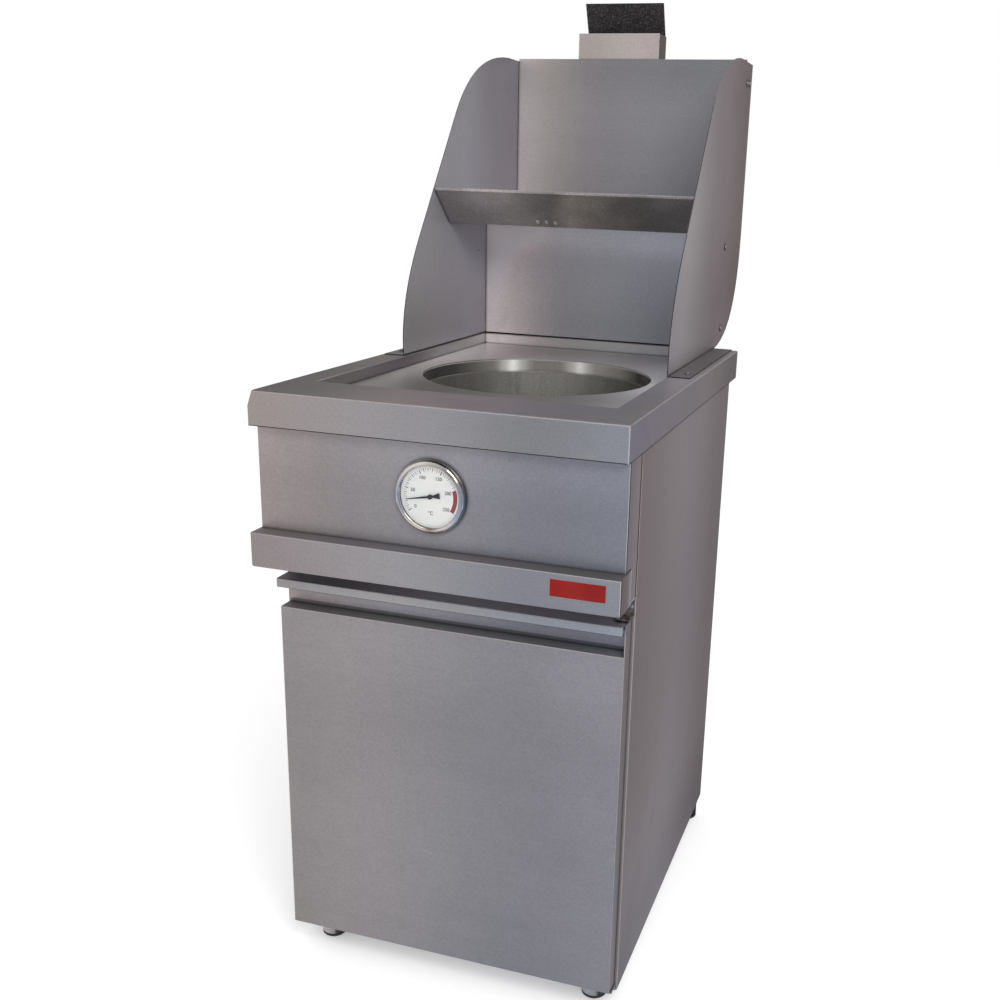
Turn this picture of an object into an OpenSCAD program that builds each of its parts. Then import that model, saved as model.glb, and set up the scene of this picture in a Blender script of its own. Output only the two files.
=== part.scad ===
// Gas deep fryer on its own cabinet: worktop with one round pot, splash guard with shelf, flue behind it.
// Millimetres. The floor is Z = 0, the front faces -Y, and X = 0, Y = 0 is the middle of the width and depth.

/* [Worktop] */
// Width over the side aprons
top_w = 500; // [480:5:540]
// Depth over the front and rear aprons
top_d = 700; // [690:5:740]
// Height of the rim above the floor
top_h = 850; // [830:5:900]
// Height of the folded aprons
apron_h = 46; // [40:1:52]
// Thickness of the stainless sheet
sheet = 1.5; // [1.2:0.1:1.8]
// Radius of the folds along the rim
fold_r = 2.5; // [2:0.5:4]
// How far the left apron slopes outwards below the rim
slope_out = 7; // [3:1:9]
// Height of that slope
slope_h = 20; // [12:1:28]
// Width of the rim beside the recess
side_rim = 43; // [36:1:46]
// Width of the rim in front of the recess
front_rim = 96; // [70:2:104]
// Width of the rim behind the recess
rear_rim = 8; // [6:1:12]
// Depth of the recessed floor
recess_depth = 18; // [12:1:22]

/* [Pot] */
// Radius of the round opening
pot_r = 172; // [160:1:176]
// Position of the pot behind the middle of the worktop
pot_back = 40; // [34:2:50]
// Height of the collar between worktop and tank
collar_h = 19.5; // [14:0.5:24]
// How far the tank wall stands inside the collar
tank_step = 4; // [3:0.5:6]
// Height of the straight tank wall
tank_wall_h = 201; // [180:1:210]
// Radius between tank wall and bottom
tank_corner_r = 30; // [20:1:40]
// Fall of the tank bottom towards the drain
bottom_fall = 18; // [12:1:24]
// Inner radius of the drain neck
neck_r = 16; // [14:0.5:18]
// Space between tank and burner shroud
shroud_gap = 30; // [24:1:34]

/* [Cabinet] */
// Gap between apron and cabinet side
body_gap = 0.5; // [0.3:0.1:1]
// Distance of the cabinet front behind the worktop front
front_set = 74; // [70:1:82]
// Distance of the cabinet rear in front of the worktop rear
rear_set = 50; // [40:2:60]
// Height of the side panels above the floor
side_gap = 32; // [28:1:40]
// Width of the inward returns on the side panels
return_w = 18; // [16:1:20]
// Distance of the front panel behind the worktop front
panel_set = 17; // [12:1:22]
// Distance from rim height down to the front rail
rail_drop = 185; // [178:1:190]
// How far the front rail projects
rail_out = 25.5; // [20:0.5:32]
// Height of the front rail
rail_h = 47; // [40:1:52]
// Seam between front panel and side panels
seam = 1.5; // [0.5:0.5:2]

/* [Door] */
// Thickness of the door box
door_t = 25; // [23:0.5:28]
// Gap between door and cabinet
door_gap = 3; // [3:0.1:4]
// How much narrower the door is at each side
door_inset = 4; // [3.5:0.5:6]
// Height of the door above the floor
door_floor = 45; // [44:1:50]
// Distance from rim height down to the door's front edge
door_drop = 305; // [300:1:312]
// Height of the grip above that edge
grip_h = 44; // [38:1:46]
// How far the grip lip stands in front of the door
lip_out = 10; // [6:1:14]
// Height of the grip lip
lip_h = 13; // [10:1:15]
// Radius of the hinge pins
pin_r = 4; // [3:0.5:4.5]
// Running clearance round pins and spindles
run_gap = 0.08; // [0.05:0.01:0.1]

/* [Feet] */
// Distance of the front feet from the worktop sides
front_foot_x = 42; // [34:1:50]
// Distance of the rear feet from the worktop sides
rear_foot_x = 22; // [22:1:42]
// Distance of the feet from cabinet front and rear
foot_y = 26; // [24:1:40]
// Radius of the foot sockets
foot_r = 18; // [15:0.5:18]
// Radius of the foot pads
pad_r = 18; // [14:0.5:20]
// Height of the foot pads
pad_h = 5; // [4:0.5:10]
// Space between foot pad and socket
pad_gap = 1; // [1:0.5:3]

/* [Thermometer] */
// Outer radius of the bezel
bezel_r = 47.5; // [45:0.5:52]
// Radius of the case
case_r = 41; // [38:0.5:43]
// Depth of the case behind the front panel
case_depth = 32; // [24:1:40]
// Distance of the dial's middle below the rim
dial_drop = 115.5; // [106:0.5:122]
// Position of the dial left of the middle
dial_left = 5; // [0:1:20]
// Angle of the needle below the horizontal at rest
needle_dip = 10.5; // [0:0.5:20]

/* [Splash guard] */
// Height of the side panels above the rim
guard_h = 470; // [440:5:500]
// Distance of the panel foot behind the middle of the worktop
guard_foot = 11; // [4:1:20]
// Distance of the panel's rear edge behind the worktop
guard_back = 195; // [190:1:215]
// Width of the foot flange on the rim
foot_flange = 33; // [24:1:34]
// Height of the shelf's front edge above the rim
shelf_top = 249; // [240:1:258]
// Height of the shelf's bottom above the rim
shelf_low = 196; // [190:1:202]
// Depth of the shelf's sloping front
shelf_slope = 57; // [45:1:70]
// Depth of the flanges behind the lower back panel
lower_flange = 62; // [50:1:70]

/* [Flue] */
// Width of the flue duct
flue_w = 146; // [120:2:160]
// Position of the flue left of the middle
flue_left = 22; // [0:1:30]
// Depth of the flue duct
flue_d = 50; // [40:1:52]
// Height of the horizontal duct
duct_h = 105; // [80:1:110]
// Height of the flue's end above the rim
stub_h = 516; // [505:1:560]
// Height of the deflector above the flue's end
deflector_h = 52; // [40:1:70]
// How far the deflector leans forwards
deflector_lean = 24; // [10:1:36]
// Thickness of the deflector
deflector_t = 2; // [1.2:0.2:3]

/* [Gas and drain] */
// Distance from tank bottom down to the cross rails
burner_drop = 82; // [76:1:90]
// Distance of the cross rails from the pot's middle
rail_spread = 100; // [90:5:130]
// Height of the cross rails
rail_leg = 25; // [20:1:30]
// Radius of the ring burner
ring_r = 110; // [90:1:120]
// Radius of the burner tube
burner_r = 16; // [12:0.5:18]
// Radius of the gas knob
knob_r = 19; // [15:0.5:22]
// Travel of the igniter button
button_travel = 6; // [4:0.5:8]
// Distance of the drain valve in front of the pot's middle
drain_reach = 120; // [110:5:140]
// Height of the control bracket
bracket_h = 121; // [112:1:130]
// Distance of the control bracket's edge left of the middle
bracket_edge = 30; // [28:1:34]
// Length of the drain lever
lever_len = 105; // [80:1:115]

/* [Hidden] */
$fn = 64;
w2 = top_w / 2;
past_front = rail_out - panel_set;
past_rear = guard_back - 51 + sheet + flue_d + deflector_t;
middle_y = (past_front - past_rear) / 2;
front_y = middle_y - top_d / 2;
rear_y = middle_y + top_d / 2;
pot_y = middle_y + pot_back;
rec_x = w2 - side_rim;
rec_y0 = front_y + front_rim;
rec_y1 = rear_y - rear_rim;
rec_z = top_h - recess_depth;
under_z = rec_z - sheet;
seat_z = top_h - sheet;
side_z = top_h - slope_h - sheet;
tongue_x = w2 - slope_out - 2 * sheet;
flange_z = under_z - collar_h;
tank_r = pot_r - tank_step;
tank_out_r = tank_r + sheet;
wall_low_z = flange_z - tank_wall_h;
dish_z = wall_low_z - tank_corner_r - bottom_fall;
neck_z = dish_z - 32;
rails_z = dish_z - burner_drop;
shroud_r = tank_out_r + shroud_gap;
shroud_z = flange_z - 11;
body_x = w2 - sheet - body_gap;
in_x = body_x - sheet;
cab_y0 = front_y + front_set;
cab_y1 = rear_y - rear_set;
base_z = side_gap + 8;
panel_y = front_y + panel_set;
rail_z1 = top_h - rail_drop;
rail_z0 = rail_z1 - rail_h;
rail_y = panel_y - rail_out;
door_x = body_x - door_inset;
door_y1 = cab_y0 - door_gap;
door_y0 = door_y1 - door_t;
door_z1 = top_h - door_drop;
grip_z1 = door_z1 + grip_h;
lip_y = door_y0 - lip_out;
liner_z1 = door_z1 - 15;
bar_z0 = door_z1 + 11;
hinge_x = door_x - 8;
hinge_y = door_y1 - 10;
bush_r = 6;
screw_r = 6;
socket_z = pad_h + pad_gap;
front_foot_at = w2 - front_foot_x;
rear_foot_at = w2 - rear_foot_x;
dial_z = top_h - dial_drop;
guard_y1 = rear_y + guard_back;
panel_foot_y = middle_y + guard_foot;
edge_y = panel_foot_y + 201;
edge_z = 365;
foot_top_y = panel_foot_y + 59;
foot_top_z = 175;
shelf_y0 = edge_y - (edge_z - shelf_top) * (edge_y - foot_top_y) / (edge_z - foot_top_z);
shelf_y1 = shelf_y0 + shelf_slope;
back_y = guard_y1 - 51;
duct_y0 = back_y + sheet;
duct_y1 = duct_y0 + flue_d;
duct_t = 1.2;
flue_x0 = -flue_left - flue_w / 2;
flue_x1 = -flue_left + flue_w / 2;
duct_z1 = top_h - apron_h - 9;
duct_z0 = duct_z1 - duct_h;
joint_z = top_h + 150;
stub_z = top_h + stub_h;
shield_y = pot_y - shroud_r - 40.5;
plate_y = shield_y;
bracket_z1 = rails_z - 4;
bracket_z0 = bracket_z1 - bracket_h;
valve_x = -96;
valve_z = rails_z - 65;
inlet_x = -205;
inlet_y = plate_y + 25;
igniter_x = -52;
limit_x = -190;
pilot_x = -66;
drain_z = rails_z - 67;
bend_r = 35;
drain_front = pot_y - drain_reach;
lever_y = drain_front - 30;

// A block between two opposite corners.
module slab(low, high) {
    translate(low) cube(high - low);
}

// A drawing in X and Z, drawn out along Y.
module along_y(y0, y1) {
    translate([0, y1, 0]) rotate([90, 0, 0]) linear_extrude(y1 - y0) children();
}

// A drawing in Y and Z, drawn out along X.
module along_x(x0, x1) {
    translate([x0, 0, 0]) rotate([90, 0, 90]) linear_extrude(x1 - x0) children();
}

// Round bar or hole along Y.
module rod_y(x, z, y0, y1, r) {
    translate([x, y1, z]) rotate([90, 0, 0]) cylinder(r = r, h = y1 - y0);
}

// Round bar or hole along X.
module rod_x(y, z, x0, x1, r) {
    translate([x0, y, z]) rotate([0, 90, 0]) cylinder(r = r, h = x1 - x0);
}

// Points of an arc about (cx, cy) from angle a0 to a1.
function arc(cx, cy, r, a0, a1, n = 6) =
    [for (i = [0:n]) [cx + r * cos(a0 + (a1 - a0) * i / n), cy + r * sin(a0 + (a1 - a0) * i / n)]];

// Points of a smooth corner that leaves a towards b and arrives at c.
function bend(a, b, c, n = 12) =
    [for (i = [0:n]) let (t = i / n) (1 - t) * (1 - t) * a + 2 * t * (1 - t) * b + t * t * c];

// Worktop outline seen from the front: the left apron slopes outwards, the right one is upright.
module top_front_outline(inset, low) {
    z1 = top_h - inset;
    r = fold_r - inset > 0.5 ? fold_r - inset : 0.5;
    polygon(concat(
        [[-w2 + inset, low], [-w2 + inset, top_h - slope_h], [-w2 + slope_out + inset, z1]],
        arc(w2 - inset - r, z1 - r, r, 90, 0),
        [[w2 - inset, low]]));
}

// Worktop outline seen from the side.
module top_side_outline(inset, low) {
    z1 = top_h - inset;
    r = fold_r - inset > 0.5 ? fold_r - inset : 0.5;
    polygon(concat(
        [[front_y + inset, low]],
        arc(front_y + inset + r, z1 - r, r, 180, 90),
        arc(rear_y - inset - r, z1 - r, r, 90, 0),
        [[rear_y - inset, low]]));
}

// The block under the worktop's outer face, smaller all round by inset.
module top_block(inset, low) {
    intersection() {
        along_y(front_y - 1, rear_y + 1) top_front_outline(inset, low);
        along_x(-w2 - 1, w2 + 1) top_side_outline(inset, low);
    }
}

// The hollow of the recess, a little wider at its mouth where the sheet folds over.
module recess_hollow() {
    mouth = 1;
    intersection() {
        along_y(rec_y0 - 5, rec_y1 + 5)
            polygon([[-rec_x, rec_z], [-rec_x, top_h - mouth], [-rec_x - mouth - 1, top_h + 1],
                [rec_x + mouth + 1, top_h + 1], [rec_x, top_h - mouth], [rec_x, rec_z]]);
        along_x(-rec_x - 5, rec_x + 5)
            polygon([[rec_y0, rec_z], [rec_y0, top_h - mouth], [rec_y0 - mouth - 1, top_h + 1],
                [rec_y1 + mouth + 1, top_h + 1], [rec_y1, top_h - mouth], [rec_y1, rec_z]]);
    }
}

module worktop() {
    color("silver") difference() {
        union() {
            difference() {
                top_block(0, top_h - apron_h);
                top_block(sheet, top_h - apron_h - 1);
            }
            slab([-rec_x - sheet, rec_y0 - sheet, under_z], [rec_x + sheet, rec_y1 + sheet, seat_z + 0.5]);
        }
        recess_hollow();
        translate([0, pot_y, under_z - 1]) cylinder(r = pot_r, h = sheet + 2, $fn = 128);
    }
}

module pot_collar() {
    color("silver") translate([0, pot_y, flange_z]) difference() {
        cylinder(r = pot_r + sheet, h = collar_h, $fn = 128);
        translate([0, 0, -1]) cylinder(r = pot_r, h = collar_h + 2, $fn = 128);
    }
}

// Rolled tank wall with its rim flange and the pocket for the sensing rod.
module tank_wall() {
    color("gray") difference() {
        union() {
            translate([0, pot_y, wall_low_z]) cylinder(r = tank_out_r, h = tank_wall_h, $fn = 128);
            translate([0, pot_y, flange_z - sheet]) cylinder(r = pot_r + 4, h = sheet, $fn = 128);
            rod_y(-dial_left, dial_z, pot_y - tank_out_r - 9, pot_y - tank_out_r + 2, 9);
        }
        translate([0, pot_y, wall_low_z - 1]) cylinder(r = tank_r, h = tank_wall_h + 2, $fn = 128);
        rod_y(-dial_left, dial_z, pot_y - tank_out_r - 10, pot_y - tank_out_r - 1, 4 + run_gap);
    }
}

// Half section of the pressed bottom: rounded corner, fall to the middle and drain neck.
module bottom_section() {
    corner_x = tank_r - tank_corner_r;
    low = wall_low_z - tank_corner_r;
    polygon(concat(
        arc(corner_x, wall_low_z, tank_corner_r, 0, -90, 10),
        [[neck_r, dish_z], [neck_r, neck_z], [neck_r + sheet, neck_z], [neck_r + sheet, dish_z - sheet],
            [corner_x, low - sheet]],
        arc(corner_x, wall_low_z, tank_corner_r + sheet, -90, 0, 10)));
}

module tank_bottom() {
    color("gray") translate([0, pot_y, 0]) rotate_extrude($fn = 128) bottom_section();
}

// Shroud round the tank, with a closing ring at the top and a box outlet to the rear panel.
module burner_shroud() {
    color("lightgray") difference() {
        union() {
            translate([0, pot_y, rails_z]) cylinder(r = shroud_r + sheet, h = shroud_z - rails_z, $fn = 96);
            slab([flue_x0, pot_y + shroud_r - 80, duct_z0], [flue_x1, cab_y1 - sheet, duct_z1]);
        }
        translate([0, pot_y, rails_z - 1]) cylinder(r = shroud_r, h = shroud_z - sheet - rails_z + 1, $fn = 96);
        translate([0, pot_y, rails_z]) cylinder(r = tank_out_r + 0.5, h = shroud_z, $fn = 96);
        slab([flue_x0 + duct_t, pot_y, duct_z0 + duct_t], [flue_x1 - duct_t, cab_y1, duct_z1 - duct_t]);
        slab([valve_x - burner_r - 1, pot_y - shroud_r - 5, rails_z - 1],
            [valve_x + burner_r + 1, pot_y - 60, rails_z + 2 * burner_r + 1]);
        rod_y(-dial_left, dial_z, pot_y - shroud_r - 5, pot_y - 60, 11);
    }
}

module heat_shield() {
    color("lightgray") difference() {
        union() {
            slab([-in_x, shield_y, rails_z + 5], [in_x, shield_y + 1, under_z - 1]);
            slab([-in_x, shield_y, rails_z + 5], [-in_x + 1, shield_y + 16, under_z - 1]);
            slab([in_x - 1, shield_y, rails_z + 5], [in_x, shield_y + 16, under_z - 1]);
        }
        rod_y(-dial_left, dial_z, shield_y - 1, shield_y + 2, 6);
    }
}

// Bottom tray with an upstand on every side and air slots.
module base_pan() {
    color("silver") difference() {
        union() {
            slab([-in_x, cab_y0 + sheet, base_z], [in_x, cab_y1 - 2 * sheet, base_z + sheet]);
            slab([-in_x, cab_y0 + sheet, side_gap + sheet], [in_x, cab_y0 + 2 * sheet, base_z + 25]);
            slab([-in_x, cab_y1 - 3 * sheet, base_z], [in_x, cab_y1 - 2 * sheet, base_z + 25]);
            slab([-in_x, cab_y0 + sheet, base_z], [-in_x + sheet, cab_y1 - 2 * sheet, base_z + 25]);
            slab([in_x - sheet, cab_y0 + sheet, base_z], [in_x, cab_y1 - 2 * sheet, base_z + 25]);
        }
        for (i = [-2:2])
            slab([i * 50 - 6, pot_y - 110, base_z - 1], [i * 50 + 6, pot_y + 50, base_z + sheet + 1]);
        for (x = [-1, 1], y = [cab_y0 + foot_y, cab_y1 - foot_y])
            translate([x * (y < pot_y ? front_foot_at : rear_foot_at), y, base_z - 1])
                cylinder(r = screw_r + 1, h = sheet + 2);
    }
}

// Left side panel with returns at front, rear and bottom. The right one is its mirror image.
module side_sheet() {
    color("silver") union() {
        slab([-body_x, cab_y0, side_gap], [-in_x, cab_y1, side_z]);
        slab([-in_x, cab_y0, side_gap], [-in_x + return_w, cab_y0 + sheet, side_z - 1]);
        slab([-in_x, cab_y1 - 2 * sheet, side_gap], [-in_x + return_w, cab_y1 - sheet, side_z - 1]);
        slab([-in_x, cab_y0 + 60, side_gap], [-in_x + 8, cab_y1 - 60, side_gap + sheet]);
    }
}

module side_panel_left() {
    side_sheet();
}

module side_panel_right() {
    mirror([1, 0, 0]) side_sheet();
}

module rear_panel() {
    color("silver") difference() {
        union() {
            slab([-in_x, cab_y1 - sheet, side_gap + 2], [in_x, cab_y1, side_z]);
            slab([-tongue_x, cab_y1 - sheet, side_z - 1], [tongue_x, cab_y1, under_z]);
        }
        slab([flue_x0 + duct_t, cab_y1 - 5, duct_z0 + duct_t], [flue_x1 - duct_t, cab_y1 + 5, duct_z1 - duct_t]);
        rod_y(inlet_x, valve_z, cab_y1 - 5, cab_y1 + 5, 9);
        for (i = [0:5])
            along_y(cab_y1 - 5, cab_y1 + 5) air_slot(i * 18 + side_gap + 60);
        for (i = [0:2])
            along_y(cab_y1 - 5, cab_y1 + 5) air_slot(duct_z0 - 60 - i * 18);
    }
}

// A long slot with round ends.
module air_slot(z) {
    polygon(concat(arc(90, z, 3.5, -90, 90), arc(-90, z, 3.5, 90, 270)));
}

// Front panel with side returns that reach back to the cabinet front, and a tongue up to the rim.
module front_panel() {
    color("silver") difference() {
        union() {
            slab([-body_x, panel_y, rail_z0 + sheet], [body_x, panel_y + sheet, side_z]);
            slab([-tongue_x, panel_y, side_z - 1], [tongue_x, panel_y + sheet, seat_z]);
            slab([-body_x, panel_y, rail_z0 + sheet], [-in_x, cab_y0 - seam, side_z]);
            slab([in_x, panel_y, rail_z0 + sheet], [body_x, cab_y0 - seam, side_z]);
        }
        rod_y(-dial_left, dial_z, panel_y - 1, panel_y + sheet + 1, case_r + 0.5);
    }
}

// Folded rail below the front panel; its bottom closes the space back to the cabinet.
module front_rail() {
    r = 2.5;
    y0 = rail_y;
    color("silver") union() {
        along_x(-body_x, body_x) polygon(concat(
            [[panel_y, rail_z1 - sheet], [panel_y, rail_z1]],
            arc(y0 + r, rail_z1 - r, r, 90, 180),
            arc(y0 + r, rail_z0 + r, r, 180, 270),
            [[cab_y0, rail_z0], [cab_y0, rail_z0 + sheet]],
            arc(y0 + r, rail_z0 + r, r - sheet, 270, 180),
            arc(y0 + r, rail_z1 - r, r - sheet, 180, 90)));
        for (x = [-body_x - sheet, body_x])
            along_x(x, x + sheet) polygon(concat(
                arc(y0 + 4, rail_z0 + 4, 4, 180, 270),
                [[panel_y + 23, rail_z0], [panel_y + 23, rail_z1], [y0 + 1, rail_z1], [y0, rail_z1 - 1]]));
    }
}

module front_crossbar() {
    y = cab_y0 + sheet;
    color("silver") union() {
        slab([-in_x, y, bar_z0], [in_x, y + sheet, rail_z0 + 22]);
        slab([-in_x, y, bar_z0], [in_x, y + 25, bar_z0 + sheet]);
        slab([-in_x, y, rail_z0 + 22 - sheet], [in_x, y + 25, rail_z0 + 22]);
    }
}

// Two angle rails from side to side; shroud and burner stand on them.
module cross_rails() {
    half = 15;
    color("silver") for (y = [pot_y - rail_spread, pot_y + rail_spread]) {
        slab([-in_x, y - half, rails_z - sheet], [in_x, y + half, rails_z]);
        slab([-in_x, y - half, rails_z - rail_leg], [in_x, y - half + sheet, rails_z]);
    }
}

// Calls its child at each foot.
module at_foot(side, end) {
    x = end < 0 ? front_foot_at : rear_foot_at;
    y = end < 0 ? cab_y0 + foot_y : cab_y1 - foot_y;
    translate([side * x, y, 0]) children();
}

module foot_sockets() {
    color("silver") for (side = [-1, 1], end = [-1, 1])
        at_foot(side, end) difference() {
            union() {
                translate([0, 0, socket_z]) cylinder(r = foot_r, h = base_z - socket_z);
                slab([-18, -20, base_z - 2], [18, 20, base_z]);
            }
            translate([0, 0, socket_z - 1]) cylinder(r = screw_r + run_gap, h = base_z);
        }
}

// Screw of one foot, up in its socket at rest.
module foot_screw() {
    color("gray") translate([0, 0, pad_h]) cylinder(r = screw_r, h = base_z - pad_h);
}

// Pad of one foot, with a bevelled edge on the floor.
module foot_pad() {
    color("black") rotate_extrude()
        polygon([[0, 0], [pad_r - 2, 0], [pad_r, 2], [pad_r, pad_h - 1], [pad_r - 1, pad_h], [0, pad_h]]);
}

// Cup that holds the dial, closed at the back.
module thermometer_case() {
    y0 = panel_y - 2.5;
    color("gray") difference() {
        rod_y(-dial_left, dial_z, y0, panel_y + case_depth, case_r);
        rod_y(-dial_left, dial_z, y0 - 1, panel_y + case_depth - sheet, case_r - sheet);
    }
}

// Rounded ring on the front panel that holds the glass.
module thermometer_bezel() {
    window = case_r - 1;
    color("lightgray") translate([-dial_left, panel_y, dial_z]) rotate([90, 0, 0])
        rotate_extrude($fn = 96) polygon(concat(
            [[case_r + 0.2, 0]],
            [[bezel_r, 0], [bezel_r, 3]],
            bend([bezel_r, 3], [bezel_r - 0.5, 9], [window + 2.5, 10], 8),
            bend([window + 2.5, 10], [window, 10], [window, 8], 4),
            [[case_r + 0.2, 8]]));
}

module thermometer_dial() {
    color("white") difference() {
        rod_y(-dial_left, dial_z, panel_y - 3.3, panel_y - 2.5, case_r - 0.4);
        rod_y(-dial_left, dial_z, panel_y - 4, panel_y - 2, 1.2 + run_gap);
    }
}

module thermometer_glass() {
    color("white") rod_y(-dial_left, dial_z, panel_y - 8, panel_y - 6.4, case_r);
}

// Needle at rest: it points left, at room temperature.
module thermometer_needle() {
    reach = case_r - 8;
    tail = 13;
    color("black") union() {
        rod_y(-dial_left, dial_z, panel_y - 5.4, panel_y - 1, 1.2);
        rod_y(-dial_left, dial_z, panel_y - 5.8, panel_y - 4.4, 3.2);
        along_y(panel_y - 5.2, panel_y - 4.6) translate([-dial_left, dial_z]) rotate(needle_dip) polygon([
            [tail, -4], [tail, 4], [3, 1], [-4, 1.3], [-reach, 0.3], [-reach, -0.3], [-4, -1.3], [3, -1]]);
    }
}

// Sensing rod from the case through shield and shroud into the tank's pocket.
module thermometer_stem() {
    color("silver") union() {
        rod_y(-dial_left, dial_z, panel_y + case_depth, pot_y - tank_out_r - 1.5, 4);
        rod_y(-dial_left, dial_z, panel_y + case_depth, panel_y + case_depth + 10, 8);
    }
}

// Outer door sheet folded back at all four sides.
module door_skin() {
    color("silver") difference() {
        union() {
            slab([-door_x, door_y0, door_floor], [door_x, door_y0 + sheet, door_z1]);
            slab([-door_x, door_y0, door_z1 - sheet], [door_x, door_y1 - sheet, door_z1]);
            slab([-door_x, door_y0, door_floor], [door_x, door_y1, door_floor + sheet]);
            slab([-door_x, door_y0, door_floor], [-door_x + sheet, door_y1, door_z1]);
            slab([door_x - sheet, door_y0, door_floor], [door_x, door_y1, door_z1]);
        }
        translate([hinge_x, hinge_y, door_floor - 1]) cylinder(r = pin_r + run_gap, h = sheet + 2);
    }
}

// Inner door sheet with two stiffening swages.
module door_liner() {
    x = door_x - sheet;
    color("lightgray") difference() {
        union() {
            slab([-x, door_y1 - sheet, door_floor + sheet], [x, door_y1, liner_z1]);
            for (z = [door_floor + 130, liner_z1 - 130])
                along_x(-x + 40, x - 40) polygon([[door_y1 - sheet - 5, z - 8], [door_y1 - sheet, z - 14],
                    [door_y1, z - 14], [door_y1, z + 14], [door_y1 - sheet, z + 14],
                    [door_y1 - sheet - 5, z + 8]]);
        }
        for (z = [door_floor + 130, liner_z1 - 130])
            along_x(-x + 41.5, x - 41.5) polygon([[door_y1 - 5, z - 7], [door_y1 + 1, z - 14],
                [door_y1 + 1, z + 14], [door_y1 - 5, z + 7]]);
    }
}

// Profile along the top of the door: upright wall, top and a lip to pull at.
module door_grip() {
    r = 2;
    y0 = lip_y;
    color("silver") difference() {
        along_x(-door_x + sheet, door_x - sheet) polygon(concat(
            [[door_y1, liner_z1], [door_y1, grip_z1]],
            arc(y0 + r, grip_z1 - r, r, 90, 180),
            arc(y0 + r, grip_z1 - lip_h + r, r, 180, 270),
            [[y0 + 9, grip_z1 - lip_h], [y0 + 9, grip_z1 - lip_h + sheet]],
            arc(y0 + r, grip_z1 - lip_h + r, r - sheet, 270, 180),
            arc(y0 + r, grip_z1 - r, r - sheet, 180, 90),
            [[door_y1 - sheet, grip_z1 - sheet], [door_y1 - sheet, liner_z1]]));
        translate([hinge_x, hinge_y, grip_z1 - 5]) cylinder(r = pin_r + run_gap, h = 10);
    }
}

// Bushings that turn on the hinge pins.
module door_bushings() {
    color("gray") for (z = [door_floor + sheet, grip_z1 - sheet - 9])
        translate([hinge_x, hinge_y, z]) difference() {
            cylinder(r = bush_r, h = 9);
            translate([0, 0, -1]) cylinder(r = pin_r + run_gap, h = 11);
        }
}

module door_strike() {
    color("gray") slab([-door_x + 44, door_y1, door_z1 - 14], [-door_x + 84, door_y1 + 1.2, door_z1]);
}

// Angle with the hinge pin, screwed to the front return of the right side panel.
module hinge_bracket(z_plate, z_low, z_high, pin_z0, pin_z1) {
    color("gray") union() {
        slab([hinge_x - 10, hinge_y - 9, z_plate], [in_x - 0.5, cab_y0, z_plate + 2]);
        slab([hinge_x - 10, cab_y0 - 2, z_low], [in_x - 0.5, cab_y0, z_high]);
        translate([hinge_x, hinge_y, pin_z0]) cylinder(r = pin_r, h = pin_z1 - pin_z0);
    }
}

module hinge_bracket_top() {
    hinge_bracket(grip_z1 + 3, grip_z1 + 3, rail_z0 - 1, grip_z1 - 10, grip_z1 + 4);
}

module hinge_bracket_bottom() {
    hinge_bracket(door_floor - 4, side_gap, door_floor - 2, door_floor - 3, door_floor + 9);
}

module magnet_catch() {
    z = bar_z0;
    color("black") union() {
        slab([-door_x + 46, cab_y0 - door_gap + 1.4, z - 24], [-door_x + 82, cab_y0 + 16, z - 13]);
        slab([-door_x + 40, cab_y0 + 2, z - 26], [-door_x + 88, cab_y0 + 20, z]);
    }
}

module door_buffers() {
    color("black") for (z = [door_floor + 40, liner_z1 - 40])
        rod_y(-in_x + return_w / 2, z, cab_y0 - door_gap + 0.3, cab_y0, 5);
}

// Hollow ring burner with its mixing tube to the front.
module ring_burner() {
    z = rails_z + burner_r;
    mix_y = pot_y - sqrt(ring_r * ring_r - valve_x * valve_x);
    color("gray") difference() {
        union() {
            translate([0, pot_y, z]) rotate_extrude($fn = 72) translate([ring_r, 0]) circle(r = burner_r, $fn = 32);
            rod_y(valve_x, z, shield_y + 35, mix_y, burner_r - 2);
            rod_y(valve_x, z, shield_y + 35, shield_y + 41, burner_r);
        }
        translate([0, pot_y, z]) rotate_extrude($fn = 72) translate([ring_r, 0]) circle(r = burner_r - 2, $fn = 32);
        rod_y(valve_x, z, shield_y + 34, mix_y, burner_r - 4);
    }
}

// Pipe from the valve up to the nozzle in the mouth of the mixing tube.
module injector_pipe() {
    z = rails_z + burner_r;
    y = shield_y + 20;
    color("gold") union() {
        translate([valve_x, y, valve_z + 25]) cylinder(r = 5, h = z - valve_z - 25);
        translate([valve_x, y, z]) sphere(r = 7);
        rod_y(valve_x, z, y, shield_y + 39, 3.5);
        translate([valve_x, y, valve_z + 25]) cylinder(r = 9, h = 8, $fn = 6);
    }
}

// Plate behind the door that carries valve, igniter and limit thermostat.
module control_bracket() {
    color("silver") difference() {
        union() {
            slab([-in_x, plate_y, bracket_z0], [-bracket_edge, plate_y + sheet, bracket_z1]);
            slab([-in_x, plate_y, bracket_z0], [-in_x + sheet, plate_y + return_w, bracket_z1]);
            slab([-in_x, plate_y, bracket_z0], [-bracket_edge, plate_y + 14, bracket_z0 + sheet]);
        }
        rod_y(valve_x, valve_z, plate_y - 1, plate_y + 3, 9.3);
        rod_y(igniter_x, valve_z, plate_y - 1, plate_y + 3, 8.3);
        rod_y(limit_x, rails_z - 28, plate_y - 1, plate_y + 3, 6.3);
    }
}

module gas_valve() {
    y = plate_y + sheet;
    color("gray") union() {
        slab([valve_x - 28, y, valve_z - 22], [valve_x + 28, y + 44, valve_z + 25]);
        rod_y(valve_x, valve_z, plate_y - 12, y + 1, 9);
        rod_y(valve_x, valve_z, plate_y - 32, plate_y, 3);
        rod_y(valve_x, valve_z - 8, y + 44, y + 56, 12);
    }
}

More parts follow.
